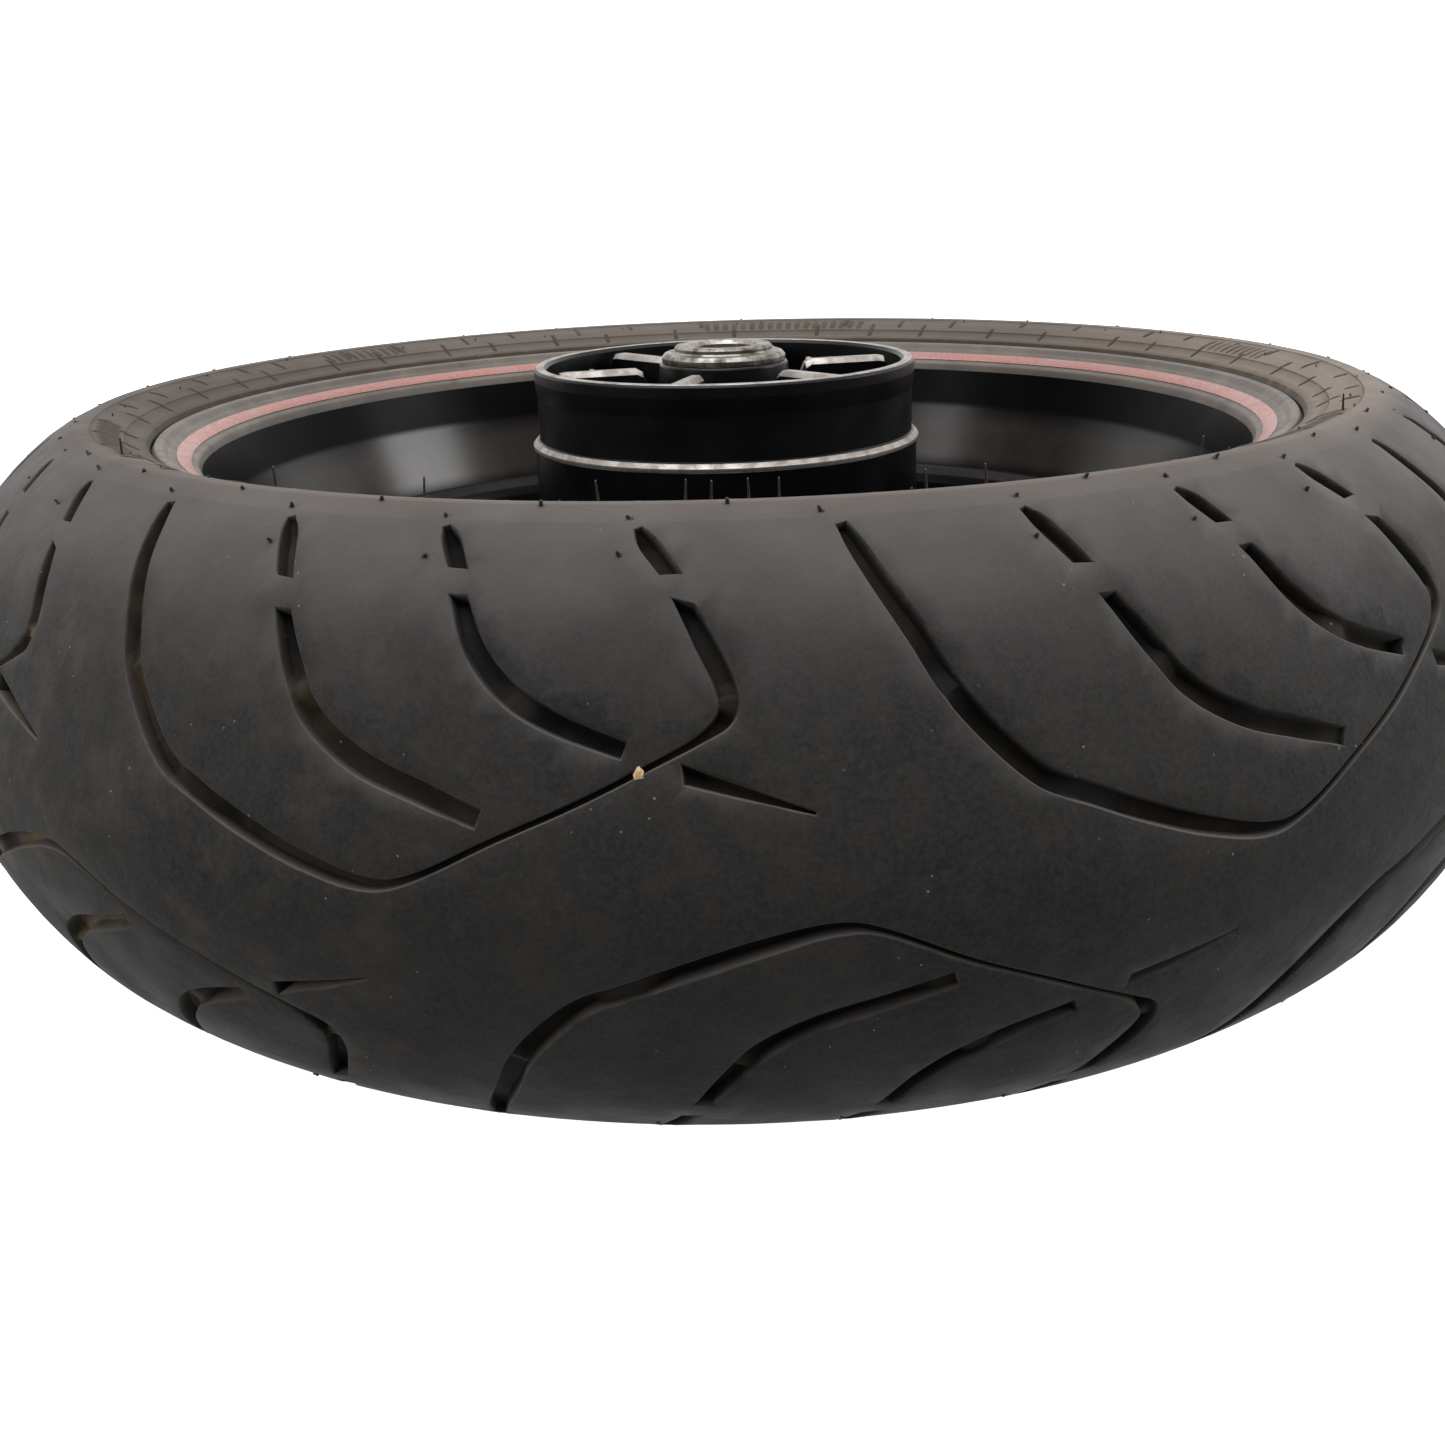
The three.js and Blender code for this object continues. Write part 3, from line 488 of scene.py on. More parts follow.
def crown_lengths():
    """The distance of each crown point from the centre line, round the tyre's section."""
    steps = np.hypot(*np.diff(CROWN, axis=0).T)
    lengths = np.concatenate([[0], np.cumsum(steps)])
    return lengths - np.interp(0, CROWN[:, 1], lengths)


CROWN_LENGTHS = crown_lengths()


def crown(along, depth=0.0):
    """The (radius, height) that lies a distance along the section from the centre line, at a depth."""
    side = math.copysign(1, along) if along else 1
    along = abs(along)
    columns = CROWN.T
    here = np.array([np.interp(along - 0.5, CROWN_LENGTHS, column) for column in columns])
    ahead = np.array([np.interp(along + 0.5, CROWN_LENGTHS, column) for column in columns])
    heading = (ahead - here) / np.linalg.norm(ahead - here)
    radius, height = (here + ahead) / 2 + depth * np.array([-heading[1], heading[0]])
    return radius, side * height


def pitch_angle(pitch):
    """The azimuth, in radians, of a place counted in pitches. The pitches vary in length round the tyre."""
    turned = FULL_TURN * (pitch - PITCH_MIDDLE) / PITCHES
    return PITCH_START + turned + PITCH_SWAY * math.sin(turned)


def stagger(side):
    """How many pitches a half of the tread lies behind the upper half."""
    return 0 if side == 1 else 0.5


# Each groove: its knots (degrees from the pitch's own point, distance from the centre line, half width),
# then how far the first and the last end are cut at a slant.
GROOVES = [
    ([(-22.3, 111, 1.6), (-21.6, 101, 2.6), (-20.6, 88, 2.9), (-19.2, 73, 3.2), (-17.4, 54, 3.3),
      (-14, 33, 3.2), (-11, 24.5, 3.1), (-7.6, 16.5, 3.0), (-4.4, 10, 2.7), (-1, 5.4, 2.0), (1.6, 7.5, 1.1),
      (6.1, 20, 0.9),
      (10, 30, 0.9), (13.6, 40, 0.9), (16.2, 47.5, 1.3), (17.6, 54, 2.7), (17.6, 62, 3.0), (16.5, 75, 3.0),
      (15.4, 86, 2.0)], 0, 3),
    ([(-7.9, 79.5, 2.3), (-6.3, 64, 3.1), (-4.5, 50, 3.4), (-1.5, 39, 3.4), (2, 32, 3.2), (5.3, 25.5, 2.8)],
     1.5, 0),
    ([(2.8, 87.5, 2.2), (4.4, 71, 3.0), (6.6, 59, 3.3), (9, 52, 3.2), (12.5, 45, 2.6)], 1.5, 0),
    ([(15.4, 38.4, 2.5), (18, 34, 1.9), (21.8, 27, 0.4)], -1.5, 0),
    ([(12.6, 111.5, 1.1), (13.3, 105.5, 2.6), (14.7, 95, 2.5)], 0, 2),
    ([(-10.8, 111.5, 1.1), (-10, 104, 2.7), (-8.7, 90, 2.5)], 0, 2),
    ([(0.6, 111.5, 1.1), (1.3, 106, 2.6), (2.3, 96.5, 2.5)], 0, 2),
]
# Each ring of a groove's wall: the share of the half width, a width added to it, the share of the depth.
WALL = [(1, 0.6, 0.0), (1, 0.2, 0.05), (1, 0.0, 0.22), (0.8, 0.0, 0.92), (0.5, 0.0, 1.0)]
GROOVE_DEPTH = 5.2
SLANT_MARGIN = 0.9  # a slanted end is drawn for a groove this much wider on each side
# Where a wear bar crosses the grooves: its distance from the centre line and its half length.
WEAR_BARS = [(25, 3.5), (57, 3)]
WEAR_BAR_SHARE = 0.35


def groove_depth(along, half):
    """Deep in the wide stretches, less in the sipes, and shallow over a wear bar."""
    depth = max(2.2, GROOVE_DEPTH * min(1, half / 2.4))
    for bar, reach in WEAR_BARS:
        closeness = min(1, max(0, 1.6 - abs(along - bar) / reach))
        if half > 1.5:
            depth *= 1 - (1 - WEAR_BAR_SHARE) * closeness
    return depth


def groove_ring(line, slants, share, extra):
    """A closed ring round a groove's centre line, in millimetres on the flattened cell, with each depth."""
    ring = []
    last = len(line) - 1
    for side in (1, -1):
        for index in range(last + 1) if side == 1 else range(last, -1, -1):
            across, along, half = line[index]
            before = line[max(index - 1, 0)]
            after = line[min(index + 1, last)]
            shrink = crown(along)[0] / TYRE_RADIUS
            heading = Vector(((after[0] - before[0]) * shrink, after[1] - before[1])).normalized()
            width = share * half + extra
            out = Vector((-heading.y, heading.x)) * side * width
            if index in (0, last):
                end = -1 if index == 0 else 1
                slant = slants[0 if index == 0 else 1]
                slide = side * slant * width / (half + SLANT_MARGIN)
                out += heading * (end * (extra - (1 - share) * half) + slide)
            ring.append((across + out.x / shrink, along + out.y, groove_depth(along, half)))
    return ring


def tread_cell():
    """One flat pitch of half the tread: triangles, and vertices of (across, along, depth, groove, edge)."""
    half = CELL * DEGREE / 2
    points = []
    edges = []
    lines = []
    for knots, *slants in GROOVES:
        line = smooth_line([(degrees * DEGREE, along, width) for degrees, along, width in knots], 6)
        lines.append(line)
        for share, extra, deep in WALL:
            ring = groove_ring(line, slants, share, extra)
            start = len(points)
            # edge marks each groove's rim rings, which are painted paler as worn rubber and as a painted
            # highlight
            edge = 1.0 if 0 < deep < 0.5 else 0.0
            # painted shade: the share by which a groove's colour is darkened, more the deeper its ring lies
            dark = min(1, deep * 1.3 - 0.05) if deep > 0.1 else 0
            points += [(x, y, deep * depth, dark, edge) for x, y, depth in ring]
            edges += [(start + i, start + (i + 1) % len(ring)) for i in range(len(ring))]
    stations = np.vstack(lines)
    for row in range(ROWS + 1):
        for column in range(COLUMNS + 1):
            x = half * (2 * column / COLUMNS - 1)
            y = TREAD_REACH * row / ROWS
            near = np.hypot(stations[:, 0] - x, stations[:, 1] - y) - stations[:, 2]
            inside = 0 < row < ROWS and 0 < column < COLUMNS
            if not inside or near.min() > GRID_GAP:
                points.append((x, y, 0, 0, 0))
    flat = [Vector(p[:2]) for p in points]
    found, _, faces, origins, _, _ = delaunay_2d_cdt(flat, edges, [], 0, 1e-4)
    vertices = [(v.x, v.y, *(points[o[0]][2:] if o else (0, 0, 0))) for v, o in zip(found, origins)]
    return vertices, faces


def tread():
    """Both halves of the grooved tread, the lower one half a pitch behind, closed by a smooth underside."""
    vertices, faces = tread_cell()
    pitch_length = CELL * DEGREE
    mesh = bmesh.new()
    groove = mesh.verts.layers.float.new("groove")
    edge = mesh.verts.layers.float.new("edge")
    for half in (1, -1):
        for pitch in range(PITCHES):
            made = []
            for x, y, depth, deep, worn_lit_edge in vertices:
                radius, height = crown(y, depth)
                angle = pitch_angle(pitch + x / pitch_length + stagger(half))
                vertex = mesh.verts.new(place(radius, angle, half * height))
                # the groove layer carries the painted shade down the grooves
                vertex[groove] = deep
                vertex[edge] = worn_lit_edge
                made.append(vertex)
            for face in faces:
                mesh.faces.new([made[i] for i in face])
    alongs = [TREAD_REACH * (row / ROWS - 1) for row in range(2 * ROWS + 1)]
    columns = PITCHES * COLUMNS
    under = []
    for column in range(columns):
        angle = pitch_angle(column / COLUMNS + 0.5)
        ring = []
        for along in alongs:
            radius, height = crown(along, TREAD_THICKNESS)
            ring.append(mesh.verts.new(place(radius, angle, height)))
        radius, height = crown(TREAD_REACH)
        ring.append(mesh.verts.new(place(radius, angle, height)))
        ring.insert(0, mesh.verts.new(place(radius, angle, -height)))
        under.append(ring)
    for ring, ahead in zip(under, under[1:] + under[:1]):
        for index in range(1, len(ring)):
            mesh.faces.new((ring[index - 1], ring[index], ahead[index], ahead[index - 1]))
    return piece("tread", mesh, [TREAD], "wheel", ["tyre_tread"], 50)


# ---- Sidewalls and beads ----

SIDEWALL_OUTLINE = [
    (257, HALF_WIDTH), (251.5, HALF_WIDTH - 0.1, 3), (250.9, 98.0, 0.4), (245, 96.5, 4), (239.4, 94.2, 3),
    (238.9, 93.6, 0.4), (235.4, 91.7, 2), (231.6, 90.4, 0.8), (230.5, 88, 0.5), (232.3, 85.2, 0.4),
    (231.8, 80.6, 4), (222, 75.6, 1), (219.2, 73.6, 1.5), (219.2, 61, 2), (225, 59.5, 3), (234, 72, 8),
    (243, 88, 6),
]
OUTSIDE_CORNERS = 8  # of them are on the outside of the wall, from the shoulder to the rim
SHOULDER_POINTS = 5
PLY_DEPTH = TREAD_THICKNESS + 0.3
LINING_DEPTH = TREAD_THICKNESS + 4.5
# Rings of dirt and painted shade on the wall, at the rim's edge and at two mould steps: the radius and the
# half width.
SHADE_AND_DIRT_RINGS = [(231.2, 1.6), (239.1, 0.5), (251.2, 0.5)]


def casing():
    """The plies and rubber under the tread and down both sides to the beads, as one turned body."""
    plies = [crown(along, PLY_DEPTH) for along in (*range(10, 101, 10), TREAD_REACH)]
    shoulder = [crown(TREAD_REACH + 2 * index) for index in range(SHOULDER_POINTS)]
    lining = [crown(along, LINING_DEPTH) for along in range(94, 9, -12)]
    mesh = lathe(rounded(mirrored([*plies, *shoulder, *SIDEWALL_OUTLINE, *lining]), 4), 288)
    corner = mesh.verts.layers.float.new("corner")
    for vertex in mesh.verts:
        radius = math.hypot(vertex.co.x, vertex.co.y) / MM
        height = abs(vertex.co.z / MM - MIDDLE)
        # dark lines of dirt and painted shade in the crease at the rim's edge and at the mould steps
        shade_and_dirt = sum(max(0, 1 - abs(radius - ring) / reach) for ring, reach in SHADE_AND_DIRT_RINGS)
        vertex[corner] = min(1, shade_and_dirt) if height > 78 else 0
    return piece("casing", mesh, [SIDEWALL], "wheel", ["tyre_casing"], 40)


def sidewall_height(radius):
    """How high the sidewall's outside stands at a radius, between the shoulder and the bead."""
    corners = [corner[:2] for corner in SIDEWALL_OUTLINE[:OUTSIDE_CORNERS]]
    radii, heights = zip(*corners[::-1])
    return float(np.interp(radius, radii, heights))


RIDGE_RELIEF = 0.4
RIDGE_ROOT = -0.4


def sidewall_ridge(mesh, side, angle, inner, outer, width, shade_and_dirt):
    """A thin raised line up the sidewall at one azimuth, with sloping flanks and a share of dirt and painted
    shade.
    """
    first = len(mesh.verts)
    sections = []
    steps = 7
    for step in range(steps):
        radius = inner + (outer - inner) * step / (steps - 1)
        height = sidewall_height(radius)
        spread = width / 2 / radius
        foot = 1.6 * spread
        brow = 0.7 * spread
        top = RIDGE_RELIEF * (0.2 if step in (0, steps - 1) else 1)
        corners = [(-foot, RIDGE_ROOT), (-brow, top), (brow, top), (foot, RIDGE_ROOT)]
        sections.append([place(radius, angle + turn, side * (height + lift)) for turn, lift in corners])
    loft(sections, mesh)
    mesh.verts.ensure_lookup_table()
    corner = mesh.verts.layers.float["corner"]
    for vertex in mesh.verts[first:]:
        vertex[corner] = shade_and_dirt


MOULD_JOINTS = 44
RIB_FIELDS = 6
RIB_STEP = math.radians(1.15)


def mould_lines():
    """Radial mould joints and plain ribbed fields, in place of the sidewall's markings."""
    mesh = bmesh.new()
    mesh.verts.layers.float.new("corner")
    for side in (1, -1):
        for joint in range(MOULD_JOINTS):
            angle = FULL_TURN * (joint + 0.4 * DRAW.random()) / MOULD_JOINTS
            reach = DRAW.uniform(5, 9)
            sidewall_ridge(mesh, side, angle, 250.6 - reach, 250.6, 1.9, 1.0)
            sidewall_ridge(mesh, side, angle + 0.06, 234.5, 236 + reach, 1.7, 1.0)
        for field in range(RIB_FIELDS):
            start = FULL_TURN * (field + 0.2) / RIB_FIELDS
            for rib in range(18 if field % 2 else 10):
                sidewall_ridge(mesh, side, start + rib * RIB_STEP, 240.4, 249.2, 2.4, 0.7)
    return piece("sidewall_ribs", mesh, [SIDEWALL], "wheel")


# Along a sprue: the share of its length, and its radius there beside its own.
THORN_RINGS = [(0, 1.6), (0.12, 1.0), (0.5, 0.8), (0.93, 0.65), (0.985, 0.45), (1, 0.15)]


def thorn(mesh, foot, tip, radius, facets=7):
    """A thin tapering sprue from foot to tip, with a rounded end that is marked as its rubbed tip."""
    edge = mesh.verts.layers.float.get("edge")
    axis = (tip - foot).normalized()
    side = axis.orthogonal().normalized()
    rings = []
    for share, width in THORN_RINGS:
        centre = foot.lerp(tip, share)
        ring = []
        for facet in range(facets):
            turn = Matrix.Rotation(FULL_TURN * facet / facets, 3, axis)
            vertex = mesh.verts.new(centre + turn @ side * radius * width * MM)
            vertex[edge] = 1.0 if share > 0.95 and radius < 0.5 else 0.0
            ring.append(vertex)
        rings.append(ring)
    for ring, ahead in zip(rings, rings[1:]):
        for index in range(facets):
            mesh.faces.new((ring[index - 1], ring[index], ahead[index], ahead[index - 1]))
    mesh.faces.new(rings[0])
    mesh.faces.new(rings[-1])


# Azimuths, in degrees, of the tall hairs that are still whole on the upper sidewall.
TALL_HAIRS = [212, 235.5, 248.5, 261, 266.8, 268.5, 271, 273, 283, 287.3, 306, 331]


STUBS = 36
NUBS = 61
NUB_START = math.radians(204.9)


def tall_hairs(mesh):
    """Whole hairs on the near upper sidewall."""
    for degrees in TALL_HAIRS:
        length = DRAW.uniform(6.4, 7.6)
        lean = Vector((DRAW.uniform(-1, 1), DRAW.uniform(-1, 1), 0)) * 0.6 * MM
        foot = place(248, math.radians(degrees), sidewall_height(248) - 0.4)
        thorn(mesh, foot, foot + Vector((0, 0, length * MM)) + lean, 0.45)


def worn_stubs(mesh):
    """Hairs worn short on both sidewalls. The lower ones end above the floor."""
    for side in (1, -1):
        for stub in range(STUBS):
            angle = FULL_TURN * (stub + DRAW.uniform(-0.3, 0.3)) / STUBS
            radius = DRAW.uniform(243, 252)
            root = sidewall_height(radius) - 1.2
            foot = place(radius, angle, side * root)
            length = DRAW.uniform(1.7, 2.3) if side == 1 else HALF_WIDTH - 0.6 - root
            thorn(mesh, foot, foot + Vector((0, 0, side * length * MM)), 0.5)


def nubs(mesh):
    """Short thick sprues on both shoulders, left out below where they would reach the floor."""
    for side in (1, -1):
        for nub in range(NUBS):
            angle = NUB_START + FULL_TURN * (nub + DRAW.uniform(-0.08, 0.08)) / NUBS
            along = (122 if nub % 2 else 116.5) + DRAW.uniform(-1, 1)
            if side == 1 or along < 118:
                nub_at(mesh, along, angle, side)
        for pitch in range(PITCHES):
            for degrees in (-11.0, 0.4, 11.4):
                angle = pitch_angle(pitch + (degrees + DRAW.uniform(-0.4, 0.4)) / CELL + stagger(side))
                nub_at(mesh, 100 + DRAW.uniform(-1.5, 1.5), angle, side)


def vent_hairs():
    """All the moulding sprues, which together make one piece."""
    mesh = bmesh.new()
    mesh.verts.layers.float.new("edge")
    tall_hairs(mesh)
    worn_stubs(mesh)
    nubs(mesh)
    return piece("vent_hairs", mesh, [HAIR], "wheel", (), 60)


def nub_at(mesh, along, angle, side):
    """A short thick sprue that stands out of the crown."""
    radius, height = crown(along, 0.3)
    whole = side == 1 and math.sin(angle) < -0.5
    tip_radius, tip_height = crown(along, -DRAW.uniform(1.1, 2.0) if whole else -DRAW.uniform(0.3, 0.6))
    lean = DRAW.uniform(-0.004, 0.004)
    thorn(mesh, place(radius, angle, side * height), place(tip_radius, angle + lean, side * tip_height), 0.75)


def stone():
    """A small chip wedged in a sipe of the tread."""
    mesh = bmesh.new()
    bmesh.ops.create_icosphere(mesh, subdivisions=2, radius=1)
    radius, height = crown(38.5, 0.8)
    centre = place(radius, math.radians(264.9), height)
    for vertex in mesh.verts:
        jag = 1 + 0.22 * math.sin(5 * vertex.co.x + 3 * vertex.co.z) + 0.12 * math.sin(9 * vertex.co.y)
        vertex.co = centre + Vector((vertex.co.x * 1.5, vertex.co.y * 1.7, vertex.co.z * 2.3)) * jag * MM
    return piece("wedged_stone", mesh, [STONE], "wheel")


# ---- Rim ----

LIP_FOOT = (213.4, 80.6)
LIP_EDGE = (224, 86.3)
RIM_HALF = [
    (188, 24, 3), (190, 28, 2), (195.5, 31, 3), (206.4, 61, 5), (212.4, 77.5, 2), (*LIP_FOOT, 2.5),
    (*LIP_EDGE, 1), (225.9, 88.6, 1.4), (228.8, 89.2, 1.2), (231.6, 84.8, 1.5), (221.4, 77, 2),
    (218.5, 74.4, 2), (217.4, 60, 2), (218.8, 57.4, 1), (216, 54.4, 3), (206.4, 46, 5), (200, 33, 4),
    (192.8, 22, 4),
]
STRIPE_START = 2.9  # up the lip's slope from its foot
STRIPE_WIDTH = 6
STRIPE_THICKNESS = 0.25
STRIPE_GAP = 0.08


def rim():
    """The barrel with its well, bead seats and lips, the lips under their own film of dust and painted
    reflection.
    """
    mesh = lathe(rounded(mirrored(RIM_HALF)), 288)
    # the lips get the dust film with its painted reflection
    mark_faces(mesh, lambda radius, height: radius > 212.5 and abs(height) > 78.4)
    return piece("rim", mesh, [PAINT, LIP_DUST_AND_REFLECTION], "wheel", ["wheel_casting"], 50)


def stripes():
    """A narrow reflective tape on each lip."""
    slope = (Vector(LIP_EDGE) - Vector(LIP_FOOT)).normalized()
    above = Vector((-slope.y, slope.x))
    start = Vector(LIP_FOOT) + STRIPE_START * slope + STRIPE_GAP * above
    end = start + STRIPE_WIDTH * slope
    thick = STRIPE_THICKNESS * above
    for name, side in (("upper", 1), ("lower", -1)):
        outline = [(corner.x, side * corner.y, 0.08) for corner in (start, end, end + thick, start + thick)]
        mesh = lathe(rounded(outline, 2), 288)
        piece(f"stripe_{name}", mesh, [STRIPE], "wheel", [f"rim_stripe_{name}"])


# ---- Hub ----

BOSS = 26.5
DRUM_OUTLINE = [
    (73.2, 106.2, 0.3), (74.4, HUB_TOP, 0.4), (77.4, HUB_TOP, 0.8), (78.4, 106.4, 0.8), (78.5, 102.5, 3),
    (78.1, 98.6, 4), (77.6, 95.5, 4), (77.5, 78.2, 0.4), (78.7, 78.0, 0.4), (80.3, 76.3, 0.4),
    (80.3, 74.8, 0.5), (79.5, 74.4, 0.3), (79.5, 29, 1.5), (74, 29, 1.5), (74, 62, 4), (34, 62, 6),
    (34, -46, 8), (48, -60, 8), (63, -61.5, 1.5), (63, -70, 0.8), (33.5, -70, 2), (30.5, HUB_END, 0.8),
    (26, HUB_END, 0.6), (25, -79, 0.3), (25, -74.5, 0.1), (25.8, -74.4, 0.1), (25.8, -72.3, 0.1),
    (23.6, -72.1, 0.1), (23.6, -59.4, 0.3), (20, -59.4, 0.5), (20, 94.2, 0.5), (23.6, 94.2, 0.3),
    (23.6, 106, 0.3), (24.4, 107, 0.3), (BOSS, 107, 1.6), (27.2, 98, 3), (27.4, 70, 4), (73.6, 70, 3),
]
DISC_BOLTS = 5
DISC_BOLT_CIRCLE = 52
SPOKE_PHASE = math.radians(18)
SPOKES = 5
VANES = 6
VANE_PHASE = math.radians(12)


def bolt_cutters():
    """The disc's bolt holes with their countersinks, as solids to cut away."""
    outline = [(3.4, -70), (4.2, -71), (4.2, -71.4), (0, -71.4), (0, -63.5), (3.4, -63.5)]
    mesh = bmesh.new()
    for bolt in range(DISC_BOLTS):
        angle = SPOKE_PHASE + FULL_TURN * (bolt + 0.5) / DISC_BOLTS
        lathe(outline, 32, mesh, Matrix.Translation(place(DISC_BOLT_CIRCLE, angle, 0)))
    bmesh.ops.remove_doubles(mesh, verts=mesh.verts, dist=MERGE * MM)
    bmesh.ops.recalc_face_normals(mesh, faces=mesh.faces)
    data = bpy.data.meshes.new("bolt_cutters")
    mesh.to_mesh(data)
    mesh.free()
    return bpy.data.objects.new("bolt_cutters", data)


def drum():
    """The cushion drive's drum, the core below it and the disc seat, with its bare turned faces."""
    mesh = lathe(rounded(DRUM_OUTLINE, 4), 192)
    bare = (
        lambda radius, height: height > 107.1 and radius > 73,
        lambda radius, height: 74.5 < height < 78.4 and radius > 78.2,
        lambda radius, height: radius < 26 or (height < -69.5 and radius < 62.8),
    )
    mark_faces(mesh, lambda radius, height: any(zone(radius, height) for zone in bare))
    made = piece("hub_drum", mesh, [HUB_PAINT, MACHINED], "wheel", ["wheel_casting"], 40)
    cutters = bolt_cutters()
    bpy.context.scene.collection.objects.link(cutters)
    cut = made.modifiers.new("bolt holes", "BOOLEAN")
    cut.operation = "DIFFERENCE"
    cut.object = cutters
    bpy.context.view_layer.update()
    whole = bpy.data.meshes.new_from_object(made.evaluated_get(bpy.context.evaluated_depsgraph_get()))
    made.modifiers.clear()
    made.data = whole
    whole.shade_smooth()
    whole.set_sharp_from_angle(angle=math.radians(40))
    bpy.data.objects.remove(cutters)
    return made


# Along a vane: the radius, and the height of its top.
VANE_TOPS = [
    (26, 94), (29.5, 95), (32, 99), (34.5, 104.6), (37, 106), (52, 106), (66, 106), (68.5, 105.6),
    (70, 102.5), (74, 100),
]
VANE_CHAMFER = 2.2


def vane_section(top):
    """A vane cut across: tapering sides, then a chamfer each side of its flat top."""
    brow = top - VANE_CHAMFER
    corners = [(-4.6, 69), (4.6, 69), (3.5, brow, 0.4), (1.7, top, 0.4), (-1.7, top, 0.4), (-3.5, brow, 0.4)]
    return rounded(corners, 3)


def vanes():
    """Six driving vanes across the drum, painted on their sides and bare along their tops."""
    mesh = bmesh.new()
    for vane in range(VANES):
        angle = VANE_PHASE + FULL_TURN * vane / VANES
        loft([across_arm(angle, radius, vane_section(top)) for radius, top in VANE_TOPS], mesh)
    mesh.normal_update()
    for face in mesh.faces:
        middle = face.calc_center_median() / MM
        radius = math.hypot(middle.x, middle.y)
        bare = middle.z - MIDDLE > 103.6 and 33.5 < radius < 69 and face.normal.z > 0.45
        face.material_index = 1 if bare else 0
    return piece("vanes", mesh, [HUB_PAINT, MACHINED], "wheel", (), 35)


def cushion_stops():
    """Small cast pips with bare tips beside each vane at the drum's wall, which space the cushions."""
    pip = rounded([(0.02, 70), (2.4, 70), (2.0, 99, 0.4), (1.2, 101, 0.6), (0.02, 101.2)], 3)
    mesh = bmesh.new()
    for vane in range(VANES):
        for offset in (43, 17):
            angle = VANE_PHASE + FULL_TURN * vane / VANES + math.radians(offset)
            lathe(pip, 20, mesh, Matrix.Translation(place(66.5, angle, 0)))
    for face in mesh.faces:
        face.material_index = 1 if face.calc_center_median().z / MM - MIDDLE > 98.8 else 0
    return piece("cushion_stops", mesh, [HUB_PAINT, MACHINED], "wheel", (), 45)


# Along a spoke: the radius, its half width, and the heights of its underside and its top.
SPOKE_KNOTS = [
    (30, 22, -50, 52), (36, 20, -48, 48), (52, 16.5, -46, 40), (80, 12.8, -44, 26), (112, 11, -42, 12),
    (145, 11.4, -40, 5), (172, 13.6, -38.5, 2), (183, 16, -38, 4), (190, 19.5, -39, 8),
]
CHANNEL_DEPTH = 20


def spoke_section(radius, half, low, high):
    """A spoke cut across, with the channel in its underside running out at both ends."""
    ease = min(1, max(0, (radius - 62) / 20)) * min(1, max(0, (176 - radius) / 14))
    roof = low + 1 + CHANNEL_DEPTH * ease * ease * (3 - 2 * ease)
    lip = 0.42 * half
    top = 0.86 * half
    corners = [
        (-half, low, 2.5), (-lip, low, 2), (-lip * 0.8, roof, 2), (lip * 0.8, roof, 2), (lip, low, 2),
        (half, low, 2.5), (top, high, 6), (-top, high, 6),
    ]
    return rounded(corners, 4)


def spokes():
    """Five cast spokes, each flaring into the core and the rim, with a channel along its underside."""
    line = smooth_line(SPOKE_KNOTS, 4)
    mesh = bmesh.new()
    for spoke in range(SPOKES):
        angle = SPOKE_PHASE + FULL_TURN * spoke / SPOKES
        loft([across_arm(angle, station[0], spoke_section(*station)) for station in line], mesh)
    return piece("spokes", mesh, [HUB_PAINT], "wheel", (), 40)


# ---- Bearings, collars and seal ----

AXLE = 12.6
BEARING_SIZES = {"upper": (94.5, 106.5), "lower": (-71.7, -59.7)}
# A shield's outline: the radius, the depth below the bearing's face, the fillet.
SHIELD = [
    (15.6, 0.5, 0.1), (17, 0.5, 0.2), (17.3, 0.9, 0.2), (19.6, 0.9, 0.2), (19.9, 0.4, 0.2), (21.0, 0.4, 0.1),
    (21.0, 1.5, 0.1), (15.6, 1.5, 0.1),
]


def turned_piece(name, outline, finish, body, stands_for):
    """A piece turned about the wheel's axis, which stands for one node of the frame."""
    return piece(name, lathe(rounded(outline), 96), [finish], body, [stands_for])


def bearing(name, low, high):
    """A sealed ball bearing: rings with rounded corners, and shields with a shallow dish and a lip."""
    outer = [
        (21.2, low, 0.3), (23.5, low, 0.8), (23.5, high, 0.8), (21.2, high, 0.3), (21.2, high - 2, 0.1),
        (20.6, high - 2.4, 0.2), (20.6, low + 2.4, 0.2), (21.2, low + 2, 0.1),
    ]
    inner = [
        (AXLE, low, 0.8), (15.4, low, 0.3), (15.4, low + 2.2, 0.1), (15.9, low + 2.4, 0.2),
        (15.9, high - 2.4, 0.2), (15.4, high - 2.2, 0.1), (15.4, high, 0.3), (AXLE, high, 0.8),
    ]
    node = f"bearing_{name}"
    turned_piece(f"{name}_outer_ring", outer, STEEL, "wheel", f"{node}_outer_race")
    turned_piece(f"{name}_inner_ring", inner, STEEL, "axle_stack", f"{node}_inner_race")
    for end, face, inward in (("top", high, -1), ("bottom", low, 1)):
        shield = [(radius, face + depth * inward, fillet) for radius, depth, fillet in SHIELD]
        cover = f"shield_{end}"
        turned_piece(f"{name}_{cover}", shield, SEAL_RUBBER, "wheel", f"{node}_{cover}")


